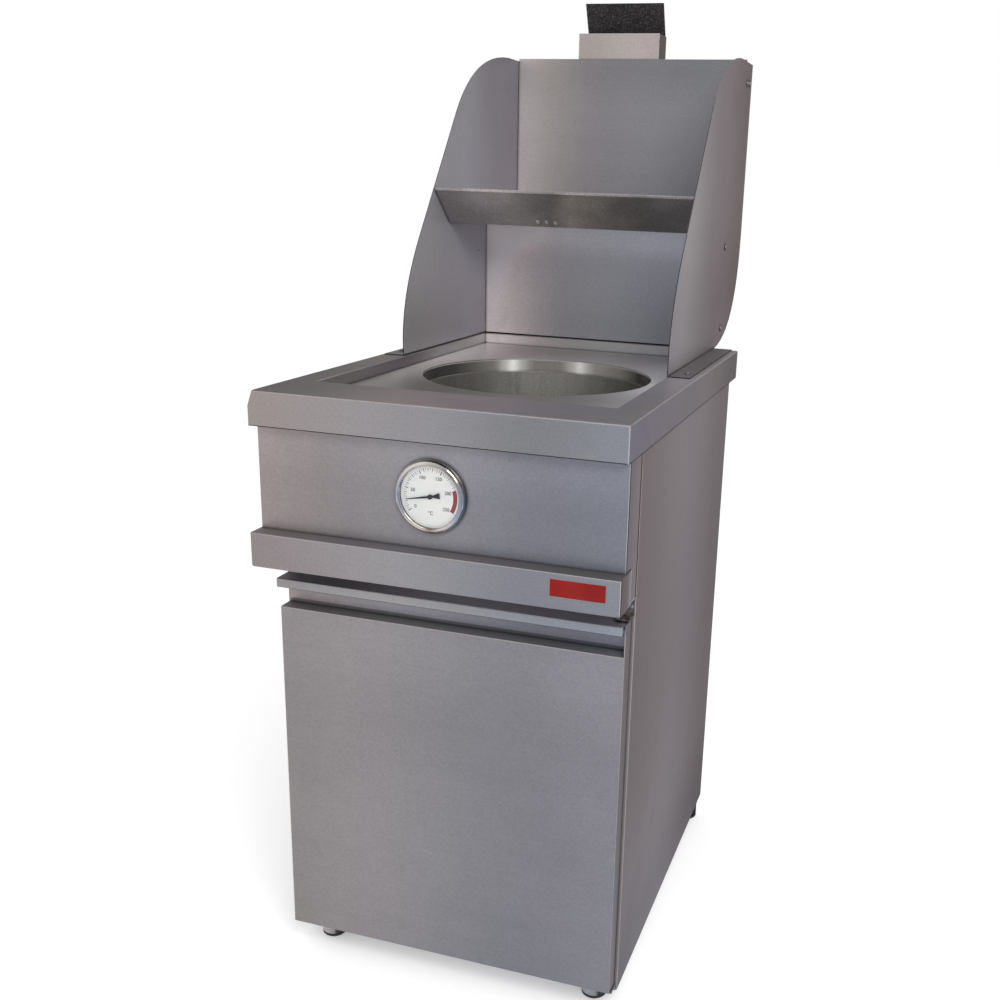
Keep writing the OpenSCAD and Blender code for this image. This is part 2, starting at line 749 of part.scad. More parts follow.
// Knob with a grip bar across its face.
module gas_knob() {
    y = plate_y - 14;
    color("black") difference() {
        union() {
            rod_y(valve_x, valve_z, y - 8, y, knob_r);
            rod_y(valve_x, valve_z, y - 12, y - 8, knob_r - 2);
            slab([valve_x - 4, y - 24, valve_z - knob_r + 3], [valve_x + 4, y - 8, valve_z + knob_r - 3]);
        }
        rod_y(valve_x, valve_z, y - 19, y + 1, 3 + run_gap);
    }
}

module igniter_body() {
    color("black") difference() {
        union() {
            rod_y(igniter_x, valve_z, plate_y - 4, plate_y + 40, 8);
            rod_y(igniter_x, valve_z, plate_y - 4, plate_y, 12);
        }
        rod_y(igniter_x, valve_z, plate_y - 5, plate_y + 30, 5 + run_gap);
    }
}

module igniter_button() {
    color("red") union() {
        rod_y(igniter_x, valve_z, plate_y - 4 - button_travel - 2, plate_y + 22 - button_travel, 5);
        rod_y(igniter_x, valve_z, plate_y - 4 - button_travel - 5, plate_y - 4 - button_travel - 2, 7.5);
    }
}

// Pilot burner and its thin pipe from the valve, which runs under the shroud.
module pilot_burner() {
    z0 = valve_z + 25;
    z1 = rails_z - 14;
    y0 = plate_y + 34;
    y1 = pot_y - ring_r - burner_r - 14;
    x = valve_x + 20;
    color("gold") union() {
        translate([x, y0, z0]) cylinder(r = 2.5, h = z1 - z0);
        translate([x, y0, z1]) sphere(r = 2.5);
        rod_y(x, z1, y0, y1, 2.5);
        translate([x, y1, z1]) sphere(r = 2.5);
        translate([x, y1, z1]) cylinder(r = 2.5, h = 30);
        translate([x, y1, z1 + 22]) cylinder(r = 6, h = 16);
        translate([x, y0, z0]) cylinder(r = 5, h = 6, $fn = 6);
    }
}

module limit_thermostat() {
    z = rails_z - 28;
    color("gray") union() {
        rod_y(limit_x, z, plate_y + sheet, plate_y + 24, 15);
        rod_y(limit_x, z, plate_y - 8, plate_y + sheet, 6);
        rod_y(limit_x, z, plate_y - 4, plate_y, 9);
    }
}

// Gas supply: from the rear of the cabinet along the left side to the valve.
module gas_inlet_pipe() {
    color("gold") union() {
        rod_x(inlet_y, valve_z, inlet_x, valve_x - 28, 8);
        translate([inlet_x, inlet_y, valve_z]) sphere(r = 8);
        rod_y(inlet_x, valve_z, inlet_y, cab_y1 + 2, 8);
        rod_y(inlet_x, valve_z, cab_y1, cab_y1 + 10, 14);
        rod_y(inlet_x, valve_z, cab_y1 + 10, cab_y1 + 35, 10.5);
    }
}

// Drain: from the tank neck down and forwards in one bend.
module drain_pipe() {
    r0 = neck_r + sheet;
    r1 = neck_r - 2;
    color("silver") difference() {
        union() {
            drain_run(r0);
            translate([0, pot_y, neck_z - 10]) cylinder(r = neck_r + 8, h = 10, $fn = 6);
        }
        drain_run(r1, 1);
    }
}

// The drain's course as a solid of radius r, longer at both ends by extra.
module drain_run(r, extra = 0) {
    z = drain_z + bend_r;
    translate([0, pot_y, z]) cylinder(r = r, h = neck_z - z + extra);
    translate([0, pot_y - bend_r, z]) rotate([0, 90, 0]) rotate_extrude(angle = 90) translate([bend_r, 0]) circle(r = r);
    rod_y(0, drain_z, drain_front - extra, pot_y - bend_r, r);
}

// Quarter-turn valve with a spout that points down.
module drain_valve() {
    y = drain_front;
    r = neck_r + 5;
    color("gold") difference() {
        union() {
            rod_y(0, drain_z, y - 60, y, r - 3);
            translate([0, y, drain_z]) rotate([90, 0, 0]) cylinder(r = r + 3, h = 14, $fn = 6);
            translate([0, y - 46, drain_z]) rotate([90, 0, 0]) cylinder(r = r + 3, h = 14, $fn = 6);
            translate([0, lever_y, drain_z]) cylinder(r = 14, h = 26);
            translate([0, lever_y, drain_z]) cylinder(r = 5, h = 38);
            translate([0, y - 76, drain_z - 50]) cylinder(r = neck_r, h = 25);
            translate([0, y - 76, drain_z - 25]) cylinder(r = neck_r + 4, h = 5, $fn = 6);
            translate([0, y - 76, drain_z - 20]) cylinder(r = neck_r + 1, h = 20);
            translate([0, y - 76, drain_z]) sphere(r = neck_r + 1);
            rod_y(0, drain_z, y - 76, y - 60, neck_r + 1);
        }
        rod_y(0, drain_z, y - 20, y + 1, neck_r - 2);
        rod_y(0, drain_z, y - 76, y - 40, neck_r - 4);
        translate([0, y - 76, drain_z - 51]) cylinder(r = neck_r - 4, h = 51);
    }
}

// Lever at rest across the pipe, which is closed.
module drain_lever() {
    z = drain_z + 27;
    color("red") difference() {
        union() {
            translate([0, lever_y, z]) cylinder(r = 11, h = 5);
            slab([0, lever_y - 8, z], [lever_len * 0.5, lever_y + 8, z + 3]);
            along_x(lever_len * 0.45, lever_len) polygon(concat(
                arc(lever_y + 5, z + 3.5, 5, -60, 60, 6), arc(lever_y - 5, z + 3.5, 5, 120, 240, 6)));
        }
        translate([0, lever_y, z - 1]) cylinder(r = 5 + run_gap, h = 10);
    }
}

// Side panel outline: curved top corner, slanted front edge, curved foot, and a large curve behind.
module guard_outline() {
    z = top_h;
    polygon(concat(
        bend([panel_foot_y, z], [panel_foot_y - 11, z + 81], [foot_top_y, z + foot_top_z]),
        bend([edge_y, z + edge_z], [edge_y + 73, z + guard_h - 7], [edge_y + 228, z + guard_h]),
        [[guard_y1, z + guard_h], [guard_y1, z + 190]],
        bend([guard_y1, z + 190], [guard_y1, z + 10], [rear_y, z])));
}

// Right side panel with the flange that is screwed to the rim. The left one is its mirror image.
module guard_side_sheet() {
    color("silver") union() {
        along_x(rec_x, rec_x + sheet) guard_outline();
        slab([rec_x, panel_foot_y, top_h], [rec_x + foot_flange, rear_y - fold_r, top_h + sheet]);
    }
}

module guard_side_left() {
    mirror([1, 0, 0]) guard_side_sheet();
}

module guard_side_right() {
    guard_side_sheet();
}

// Lower back panel, in one plane with the rear wall of the recess.
module guard_back_lower() {
    z0 = top_h;
    z1 = top_h + shelf_low - sheet;
    y = rec_y1 + 1.5;
    color("silver") union() {
        slab([-rec_x, y, z0], [rec_x, y + sheet, z1]);
        slab([-rec_x, y, z0 + 10], [-rec_x + sheet, y + lower_flange, z1 - 4]);
        slab([rec_x - sheet, y, z0 + 10], [rec_x, y + lower_flange, z1 - 4]);
        slab([-rec_x, y, z1 - sheet], [rec_x, y + 15, z1]);
    }
}

// Upper back panel behind the shelf, with side flanges and a folded top edge.
module guard_back_upper() {
    z0 = top_h + shelf_low;
    z1 = top_h + guard_h + 4;
    color("silver") union() {
        slab([-rec_x, back_y, z0], [rec_x, back_y + sheet, z1]);
        slab([-rec_x, back_y, z0], [-rec_x + sheet, back_y + 46, z1 - 6]);
        slab([rec_x - sheet, back_y, z0], [rec_x, back_y + 46, z1 - 6]);
    }
}

// Shelf: folded front edge, sloping front, flat bottom, rear upstand and end flanges.
module guard_shelf() {
    z = top_h;
    x = rec_x;
    color("silver") difference() {
        union() {
            along_x(-x, x) polygon([[shelf_y0, z + shelf_top], [shelf_y0 + 8, z + shelf_top],
                [shelf_y0 + 8, z + shelf_top - sheet], [shelf_y0 + 3, z + shelf_top - sheet],
                [shelf_y1 + 1, z + shelf_low], [back_y, z + shelf_low], [back_y, z + shelf_low - sheet],
                [shelf_y1, z + shelf_low - sheet], [shelf_y0, z + shelf_top - 4]]);
            for (side = [-x, x - sheet])
                along_x(side, side + sheet) polygon([[shelf_y0 + 8, z + shelf_top - 8], [shelf_y1, z + shelf_low],
                    [back_y, z + shelf_low], [back_y, z + shelf_low + 14], [shelf_y1 + 6, z + shelf_low + 14],
                    [shelf_y0 + 20, z + shelf_top - 8]]);
        }
        for (i = [-1:1])
            rod_y(-38 + i * 14.5, z + shelf_low + 6, shelf_y1 - 20, shelf_y1 + 20, 3);
    }
}

// Outline of the elbow in Y and Z, smaller by inset, with its ends drawn out by open.
module elbow_outline(inset, open) {
    polygon([[cab_y1 - open, duct_z0 + inset], [duct_y1 - 30 - inset * 0.4, duct_z0 + inset],
        [duct_y1 - inset, duct_z0 + 30 + inset * 0.4], [duct_y1 - inset, joint_z + open],
        [duct_y0 + inset, joint_z + open], [duct_y0 + inset, duct_z1 - inset], [cab_y1 - open, duct_z1 - inset]]);
}

module flue_elbow() {
    color("silver") difference() {
        along_x(flue_x0, flue_x1) elbow_outline(0, 0);
        along_x(flue_x0 + duct_t, flue_x1 - duct_t) elbow_outline(duct_t, 5);
    }
}

// Upright duct: it stands on the elbow, a short sleeve laps over the joint.
module flue_riser() {
    t = duct_t;
    g = 0.3;
    color("silver") difference() {
        union() {
            slab([flue_x0, duct_y0, joint_z], [flue_x1, duct_y1, stub_z]);
            slab([flue_x0 - g - t, duct_y0, joint_z - 15], [flue_x1 + g + t, duct_y1 + g + t, joint_z + t]);
        }
        slab([flue_x0 + t, duct_y0 + t, joint_z - 20], [flue_x1 - t, duct_y1 - t, stub_z + 1]);
        slab([flue_x0 - g, duct_y0 - 1, joint_z - 20], [flue_x1 + g, duct_y1 + g, joint_z]);
    }
}

// Deflector: an upright flange on the rear of the flue and a leaning plate above its end.
module flue_deflector() {
    y = duct_y1;
    t = deflector_t;
    color("black") along_x(flue_x0 + 2, flue_x1 - 2) polygon([
        [y, stub_z - 26], [y + t, stub_z - 26], [y + t, stub_z + 1], [y + t - deflector_lean, stub_z + deflector_h],
        [y - deflector_lean, stub_z + deflector_h], [y, stub_z]]);
}

worktop();
pot_collar();
tank_wall();
tank_bottom();
burner_shroud();
heat_shield();
base_pan();
side_panel_left();
side_panel_right();
rear_panel();
front_panel();
front_rail();
front_crossbar();
cross_rails();
foot_sockets();
at_foot(-1, -1) foot_screw();  // foot_screw_front_left
at_foot(1, -1) foot_screw();  // foot_screw_front_right
at_foot(-1, 1) foot_screw();  // foot_screw_rear_left
at_foot(1, 1) foot_screw();  // foot_screw_rear_right
at_foot(-1, -1) foot_pad();  // foot_pad_front_left
at_foot(1, -1) foot_pad();  // foot_pad_front_right
at_foot(-1, 1) foot_pad();  // foot_pad_rear_left
at_foot(1, 1) foot_pad();  // foot_pad_rear_right
thermometer_case();
thermometer_bezel();
thermometer_dial();
thermometer_glass();
thermometer_needle();
thermometer_stem();
door_skin();
door_liner();
door_grip();
door_bushings();
door_strike();
hinge_bracket_top();
hinge_bracket_bottom();
magnet_catch();
door_buffers();
ring_burner();
injector_pipe();
control_bracket();
gas_valve();
gas_knob();
igniter_body();
igniter_button();
pilot_burner();
limit_thermostat();
gas_inlet_pipe();
drain_pipe();
drain_valve();
drain_lever();
guard_side_left();
guard_side_right();
guard_back_lower();
guard_back_upper();
guard_shelf();
flue_elbow();
flue_riser();
flue_deflector();
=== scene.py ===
# %% [markdown]
# # A gas deep fryer, dressed for its portrait
#
# The sheet metal, the pot, the pipes and every moving part arrive as finished solids. This lesson
# gives them what a solid model doesn't have: brushed steel that catches the light, a printed dial,
# screws, threads and a name plate left bare. Each step says what the real thing is, and then how it
# is made.

# %% Load the solids
from math import cos, pi, radians, sin

import bmesh
import bpy
from mathutils import Matrix, Vector


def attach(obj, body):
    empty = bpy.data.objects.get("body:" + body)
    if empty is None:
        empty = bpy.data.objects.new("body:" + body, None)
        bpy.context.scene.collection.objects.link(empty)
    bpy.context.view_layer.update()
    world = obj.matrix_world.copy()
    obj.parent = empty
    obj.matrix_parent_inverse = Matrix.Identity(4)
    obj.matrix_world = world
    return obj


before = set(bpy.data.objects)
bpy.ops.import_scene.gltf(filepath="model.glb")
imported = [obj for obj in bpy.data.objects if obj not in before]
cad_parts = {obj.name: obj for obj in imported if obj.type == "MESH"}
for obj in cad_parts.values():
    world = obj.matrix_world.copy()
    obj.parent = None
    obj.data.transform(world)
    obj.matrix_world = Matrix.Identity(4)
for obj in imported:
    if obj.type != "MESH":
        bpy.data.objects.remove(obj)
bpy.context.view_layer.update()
mm = 0.001

# Places in millimetres: x runs to the right, y to the back and z up from the floor
gauge_x, gauge_z = -5, 734.5
pot_y, rail_face_y = -54.5, -453
knob_x, knob_z = -96, 415
inlet_x, inlet_z = -205, 415

# %% [markdown]
# ## The camera
#
# The photograph was taken a little to the right of the fryer and from above the worktop, with the
# camera turned down and rolled by two degrees. A camera looks along its own -Z axis, so its three
# axes are put side by side into one matrix. The picture is a crop, so the middle of the lens is not
# the middle of the picture, and the shift puts that right.

# %% Camera
eye = Vector((571.627, -1687.818, 1109.397)) * mm
turned, tipped, rolled = 0.291, 0.292, 0.035
focal_pixels, centre_pixel, picture = 1147.144, (584.308, 530.541), 1000

ahead = Vector((-sin(turned) * cos(tipped), cos(turned) * cos(tipped), -sin(tipped)))
level = Vector((cos(turned), sin(turned), 0))
plumb = level.cross(ahead)
right = cos(rolled) * level + sin(rolled) * plumb
up = cos(rolled) * plumb - sin(rolled) * level

lens = bpy.data.cameras.new("camera")
lens.sensor_width = 36
lens.lens = focal_pixels / picture * lens.sensor_width
lens.shift_x = (picture / 2 - centre_pixel[0]) / picture
lens.shift_y = (centre_pixel[1] - picture / 2) / picture
camera = bpy.data.objects.new("camera", lens)
camera.matrix_world = Matrix.Translation(eye) @ Matrix((right, up, -ahead)).transposed().to_4x4()
bpy.context.scene.collection.objects.link(camera)
bpy.context.scene.camera = camera
print("lens", round(lens.lens, 1), "mm, shift", round(lens.shift_x, 3), round(lens.shift_y, 3))

# %% [markdown]
# ## Nodes, written as sums
#
# A finish in Blender is a graph of nodes, and a graph is hard to read in a script. A small class
# wraps the socket that a node gives out, so that `1 - worn` or `grain * 0.2 + streaks` adds the
# Math nodes by itself. A vector goes through Vector Math, and a colour through Mix, because a Math
# node would turn it grey.


# %% Sockets that can be added and multiplied
class Wire:
    """A node's output, ready to be used in a sum."""

    def __init__(self, tree, socket):
        self.tree = tree
        self.socket = socket

    def node(self, kind, settings=None, inputs=None, out=0):
        """Adds a node: its settings first, then the values or wires of its sockets."""
        made = self.tree.nodes.new(kind)
        for name, value in (settings or {}).items():
            if name == "stops":
                ramp = made.color_ramp.elements
                while len(ramp) < len(value):
                    ramp.new(1)
                for stop, (place, shade) in zip(ramp, value):
                    stop.position, stop.color = place, shade
            elif name == "interpolation":
                made.color_ramp.interpolation = value
            else:
                setattr(made, name, value)
        for name, value in (inputs or {}).items():
            if isinstance(value, Wire):
                self.tree.links.new(value.socket, made.inputs[name])
            else:
                made.inputs[name].default_value = value
        return None if out is None else Wire(self.tree, made.outputs[out])

    def sum(self, operation, first, second=0.0):
        """One operation. With a vector, a plain number stands for all three parts."""
        if self.socket.type != "VECTOR":
            return self.node("ShaderNodeMath", {"operation": operation}, {0: first, 1: second})
        first, second = (v if isinstance(v, (Wire, tuple)) else (v, v, v) for v in (first, second))
        return self.node("ShaderNodeVectorMath", {"operation": operation}, {0: first, 1: second})

    def __add__(self, other):
        return self.sum("ADD", self, other)

    def __radd__(self, other):
        return self.sum("ADD", other, self)

    def __sub__(self, other):
        return self.sum("SUBTRACT", self, other)

    def __rsub__(self, other):
        return self.sum("SUBTRACT", other, self)

    def __mul__(self, other):
        return self.sum("MULTIPLY", self, other)

    def __rmul__(self, other):
        return self.sum("MULTIPLY", other, self)

    def absolute(self):
        """A number without its sign."""
        return self.sum("ABSOLUTE", self)

    def part(self, index):
        """One part of a vector: 0 for x, 1 for y and 2 for z."""
        return self.node("ShaderNodeSeparateXYZ", inputs={0: self}, out=index)

    def noise(self, scale, detail, **more):
        """Noise at this place, where more holds further sockets, such as Roughness."""
        inputs = {"Vector": self, "Scale": scale, "Detail": detail, **more}
        return self.node("ShaderNodeTexNoise", inputs=inputs)

    def bump(self, strength, distance):
        """A normal that follows this wire as a height."""
        inputs = {"Height": self, "Strength": strength, "Distance": distance}
        return self.node("ShaderNodeBump", inputs=inputs)

    def between(self, low, high, low_out=0.0, high_out=1.0):
        """Stretches the span from low to high over 0 to 1, or another, and cuts off the rest."""
        ends = {"From Min": low, "From Max": high, "To Min": low_out, "To Max": high_out}
        return self.node("ShaderNodeMapRange", {"clamp": True}, {"Value": self, **ends})

    def blend(self, without, with_it):
        """Mixes two colours with this wire as the mask."""
        settings = {"data_type": "RGBA", "blend_type": "MIX"}
        return self.node("ShaderNodeMix", settings, {"Factor": self, 6: without, 7: with_it}, out=2)


print("sockets are wrapped")

# %% [markdown]
# ## Starting and ending a finish
#
# Every finish begins with a wire on the object coordinates, which are metres in the fryer's own
# frame, and ends in the Principled shader. The solids that get one are listed, so that in the end
# none is forgotten. A colour in a table or a call is three linear values in thousandths.

# %% The two ends of every finish
dressed = set()


def start_finish(name):
    """An empty material, and a wire on its object coordinates."""
    material = bpy.data.materials.new(name)
    material.use_nodes = True
    tree = material.node_tree
    tree.nodes.clear()
    place = Wire(tree, tree.nodes.new("ShaderNodeTexCoord").outputs["Object"])
    return material, place


def end_finish(material, place, surface):
    """The Principled shader: what varies goes in by wire and what doesn't as a plain value."""
    shader = place.node("ShaderNodeBsdfPrincipled", inputs=surface)
    place.node("ShaderNodeOutputMaterial", inputs={"Surface": shader}, out=None)
    return material


def dress(finish, names):
    """Puts a finish into the material slot of some solids, which aren't moved."""
    for name in names:
        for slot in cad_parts[name].material_slots:
            slot.material = finish
        dressed.add(name)


def linear(shade):
    """A colour or one factor in thousandths, as the four values that a node takes."""
    red, green, blue = shade if len(shade) == 3 else shade * 3
    return red / 1000, green / 1000, blue / 1000, 1


def multiplied(wire, one, other):
    """Two colours multiplied."""
    settings = {"data_type": "RGBA", "blend_type": "MULTIPLY"}
    return wire.node("ShaderNodeMix", settings, {"Factor": 1.0, 6: one, 7: other}, out=2)


def grey(wire):
    """A colour with the same value in its three channels."""
    return wire.node("ShaderNodeCombineColor", inputs={0: wire, 1: wire, 2: wire})


print("finishes can be made")

# %% [markdown]
# ## The studio
#
# Bright metal looks like what stands round it, so the surroundings matter more than the lamps. The
# room is white. What the metal mirrors is a little different on each side: a warm window to the
# front left, a cooler wall to the front right and a dimmer room behind. That is one colour that
# depends on the direction, and both the room and the floor show it to mirror rays.

# %% What the metal mirrors
bpy.context.scene.view_settings.view_transform = "Standard"
warm_window, cool_wall = (0.70, 0.64, 0.64, 1), (0.46, 0.47, 0.54, 1)
dim_room, ceiling = (0.30, 0.27, 0.285, 1), (0.62, 0.61, 0.61, 1)
strip_light = (1.35, 1.32, 1.30, 1)
white, room_light = (1, 1, 1, 1), (0.84, 0.84, 0.84, 1)


def surroundings(direction):
    """The colour that metal sees in this direction: a wire on a colour."""
    across, along, height = (direction.part(index) for index in range(3))
    frontness = (0 - along).between(-0.75, 0.55)
    leftness = (0 - across).between(-0.15, 0.62)
    front = leftness.blend(cool_wall, warm_window)
    walls = height.between(0.15, 0.70).blend(frontness.blend(dim_room, front), ceiling)
    return height.between(0.86, 0.97).blend(walls, strip_light)


room = bpy.data.worlds.new("room")
bpy.context.scene.world = room
room.use_nodes = True
room.node_tree.nodes.clear()
sky = Wire(room.node_tree, room.node_tree.nodes.new("ShaderNodeTexCoord").outputs["Generated"])
mirrored = sky.node("ShaderNodeLightPath", out="Is Glossy Ray")
lighting = sky.node("ShaderNodeLightPath", out="Is Diffuse Ray")
shown = mirrored.blend(lighting.blend(white, room_light), surroundings(sky))
light = sky.node("ShaderNodeBackground", inputs={"Color": shown})
sky.node("ShaderNodeOutputWorld", inputs={"Surface": light}, out=None)
print("a white room")

# %% [markdown]
# ## Floor and lamp
#
# The floor is matt and pale and keeps the fryer's shadow, and a weak glow brings it up to the white
# of the room. Mirror rays see something else there: the surroundings again, and on each side a
# strip of light, which softens the tone of the lower sheets. One large soft lamp adds the
# highlights along the folds.

# %% Floor and lamp
floor_finish, spot = start_finish("floor_paper")
matt = spot.node("ShaderNodeBsdfDiffuse", inputs={"Color": (0.86, 0.86, 0.86, 1)})
glow = spot.node("ShaderNodeEmission", inputs={"Color": white, "Strength": 0.29})
paper = spot.node("ShaderNodeAddShader", inputs={0: matt, 1: glow})
outward = spot.node("ShaderNodeVectorMath", {"operation": "NORMALIZE"}, {0: spot})
beside = spot.part(0).absolute().between(1.0, 1.3)
too_far_back = spot.part(1).absolute().between(0.5, 0.9)
seen = (beside * (1 - too_far_back)).blend(surroundings(outward), strip_light)
seen_in_metal = spot.node("ShaderNodeEmission", inputs={"Color": seen})
is_mirrored = spot.node("ShaderNodeLightPath", out="Is Glossy Ray")
both = spot.node("ShaderNodeMixShader", inputs={0: is_mirrored, 1: paper, 2: seen_in_metal})
spot.node("ShaderNodeOutputMaterial", inputs={"Surface": both}, out=None)
far = 60
ground = bpy.data.meshes.new("floor")
ground_corners = [(-far, -far, 0), (far, -far, 0), (far, far, 0), (-far, far, 0)]
ground.from_pydata(ground_corners, [], [(0, 1, 2, 3)])
ground.materials.append(floor_finish)
floor = bpy.data.objects.new("floor", ground)
bpy.context.scene.collection.objects.link(floor)

lamp = bpy.data.lights.new("soft_lamp", "AREA")
lamp.shape = "DISK"
lamp.size = 1.6
lamp.energy = 55
lamp_aim = Vector((0, 0, 0.7))
lamp_stand = bpy.data.objects.new("soft_lamp", lamp)
lamp_stand.location = (1.5, -2.3, 2.6)
lamp_stand.rotation_euler = (lamp_aim - lamp_stand.location).to_track_quat("-Z", "Y").to_euler()
bpy.context.scene.collection.objects.link(lamp_stand)
print("floor and one lamp")

# %% [markdown]
# ## A tone that changes over a sheet
#
# No sheet of steel shows as one even grey: it mirrors the room in wide soft steps. So each sheet
# gets a plan of painted light, shade and reflection, which says its colour at a few places along
# one axis and how much lighter or darker it is along another. A Color Ramp joins the colours. It
# can't hold a value above 1, so its stops are divided by the highest one first, and the result is
# multiplied by it again.


# %% Plans of tone
few_stops, wide_span = 8, 60
shelf_slant = 0.33


def toned(distance, stops, smooth="LINEAR"):
    """A colour along a distance. Each stop is a place, and a colour or one factor."""
    places = [at for at, *_ in stops]
    shades = [linear(shade) for _, *shade in stops]
    if len(stops) == 1:
        return shades[0]
    first, last = places[0], places[-1]
    along = distance.between(first, last)
    top = max(max(shade) for shade in shades)
    shades = [(red / top, green / top, blue / top, 1) for red, green, blue, _ in shades]
    ramp = [((at - first) / (last - first), shade) for at, shade in zip(places, shades)]
    settings = {"stops": ramp, "interpolation": smooth}
    tone = along.node("ShaderNodeValToRGB", settings, {"Fac": along})
    return multiplied(along, tone, (top, top, top, 1)) if top > 1 else tone


def planned(where, plan):
    """The tone of a facing: the colours along one axis, times the factors along the others.

    A few stops far apart are joined by a soft curve, and many or close ones by straight lines.
    """
    shade = None
    for axis, stops in plan.items():
        is_soft = len(stops) < few_stops and stops[-1][0] - stops[0][0] > wide_span
        tone = toned(where[axis], stops, "B_SPLINE" if is_soft else "LINEAR")
        shade = tone if shade is None else multiplied(where[axis], shade, tone)
    return shade


def angle(upward, across):
    """The angle of a place round a middle point, from -180 to 180 degrees."""
    return upward.sum("ARCTAN2", upward, across) * (180 / pi)


def measured(place):
    """Millimetres along the three axes and along a slanting line, and degrees round the pot."""
    where = {axis: place.part(index) * 1000 for index, axis in enumerate("xyz")}
    where["turn"] = angle(where["y"] - pot_y, where["x"])
    where["slant"] = where["x"] + where["y"] * shelf_slant
    return where


print("plans of tone are ready")

# %% [markdown]
# ## Brushed stainless steel
#
# The sheets were polished with a belt, which leaves fine lines in one direction. Three things make
# such steel look real: long thin lines of several widths, a slow cloudiness from the rolling, and
# places that are a little smoother or rougher, where hands and cloths have been. The lines come
# from noise whose coordinates are squeezed across the grain, so one function serves every sheet.
# The creases get painted shade, which the Ambient Occlusion node finds.


# %% A function for brushed sheet
hairline, streak, band = (24, 0.35, 2.0), (160, 2.6, 3.0), (700, 22, 2.0)
# The colour of the painted shade in creases
crease_shade = (0.030, 0.027, 0.029, 1)


def brushing(place, grain, length, width, detail):
    """Lines along the grain with this length and width in millimetres."""
    squeeze = [1 / (width * mm)] * 3
    squeeze["xyz".index(grain)] = 1 / (length * mm)
    return (place * tuple(squeeze)).noise(1.0, detail)


def laid_out(place, front, up, side, strips):
    """The colour of a sheet with its painted light and shade: the plan of each facing, then the
    strips.
    """
    where = measured(place)
    facing = place.node("ShaderNodeTexCoord", out="Normal")
    turned_side = facing.part(0).absolute().between(0.55, 0.75)
    turned_up = facing.part(2).between(0.55, 0.75)
    sheet = planned(where, front)
    if up:
        sheet = turned_up.blend(sheet, planned(where, up))
    if side:
        sheet = turned_side.blend(sheet, planned(where, side))
    masks = {"front": (1 - turned_side) * (1 - turned_up), "up": turned_up, "side": turned_side}
    for faces, axis, start, end, colour in strips:
        begun, ended = (where[axis].between(at - 0.2, at + 0.2) for at in (start, end))
        shade = planned(where, colour) if isinstance(colour, dict) else linear(colour)
        sheet = ((begun - ended) * masks[faces]).blend(sheet, shade)
    return where, sheet


def brushed(name, wearers, front, grain="x", up=None, side=None, strips=(), glints=None, rough=0.36,
            lines=1.0, clouds=1.0, speckles=1.0, patches=0.0, metal=0.66):
    """Dresses the solids called wearers in brushed sheet, with its grain along x, y or z.

    front, up and side are the plans of the faces turned that way: the steel's tone with painted
    light, shade and reflection. A strip is a narrow line: the faces it is on, its axis, where it
    starts and ends, and its colour or plan; strips draw dark joints, painted shadow lines and
    painted highlights.
    glints are painted highlights round the pot, which glow. The other values say how strong each
    unevenness is.
    """
    material, place = start_finish(name)
    where, sheet = laid_out(place, front, up, side, strips)

    hairlines, streaks, bands = (brushing(place, grain, *kind) for kind in (hairline, streak, band))
    cloud = place.noise(5.5, 5.0, Roughness=0.62)
    speckle = place.noise(380.0, 2.0, Roughness=0.6)
    smears = place.noise(14.0, 3.0, Distortion=0.6)
    tone = (hairlines - 0.5) * (0.10 * lines) + (streaks - 0.5) * (0.07 * lines)
    tone = tone + (bands - 0.5) * (0.05 * lines) + (cloud - 0.5) * (0.18 * clouds)
    tone = tone + (speckle - 0.5) * (0.40 * speckles) + 1.0
    tone = tone - smears.between(0.68, 0.80) * 0.10
    if patches:
        patch = (place * (1, 0.4, 2)).noise(11.0, 4.0, Roughness=0.5)
        tone = tone + (patch.between(0.42, 0.68) - 0.30) * (0.9 * patches)

    steel = multiplied(place, grey(tone), sheet)
    # Painted shade: the Ambient Occlusion node darkens the colour in creases and under overhangs
    crease = place.node("ShaderNodeAmbientOcclusion", {"samples": 6}, {"Distance": 0.005}, out="AO")
    steel = crease.between(0.30, 0.90).blend(crease_shade, steel)
    roughness = (smears - 0.5) * 0.14 + (streaks - 0.5) * 0.10 + rough
    surface = {"Base Color": steel, "Roughness": roughness, "Metallic": metal}
    surface["Normal"] = (hairlines * 0.7 + streaks * 0.3).bump(0.10, 0.0002)
    # Painted highlights: the glints glow through Emission Color
    if glints:
        surface["Emission Color"] = multiplied(place, grey(tone), toned(where["turn"], glints))
        surface["Emission Strength"] = 1.0
    dress(end_finish(material, place, surface), wearers)
    return material


print("brushed sheet is ready")

# %% [markdown]
# ## The front of the cabinet
#
# The sheets are all the same steel, but each faces the room in its own way and was cut in its own
# direction. So each gets a finish of its own, with the solids that wear it named beside it, and its
# plans paint the light and shade on each face. A stop in a plan is a place in millimetres, then a
# colour or one factor, rounded. The narrow strips are the dark seams between two sheets, painted
# shadow in the darkest seams and under the apron, and painted highlights on the folds along the
# edges.

# %% Front panel, rail and door
# Dark joints between sheets. The near-black joints and the line under the apron's edge are painted
# shadow, and the lit folds and edges are painted highlights
seam, seam_shadow, apron_shadow_line = (30, 27, 30), (12, 11, 12), (30, 28, 40)
lit_fold, lit_edge = (440, 420, 420), (500, 480, 480)
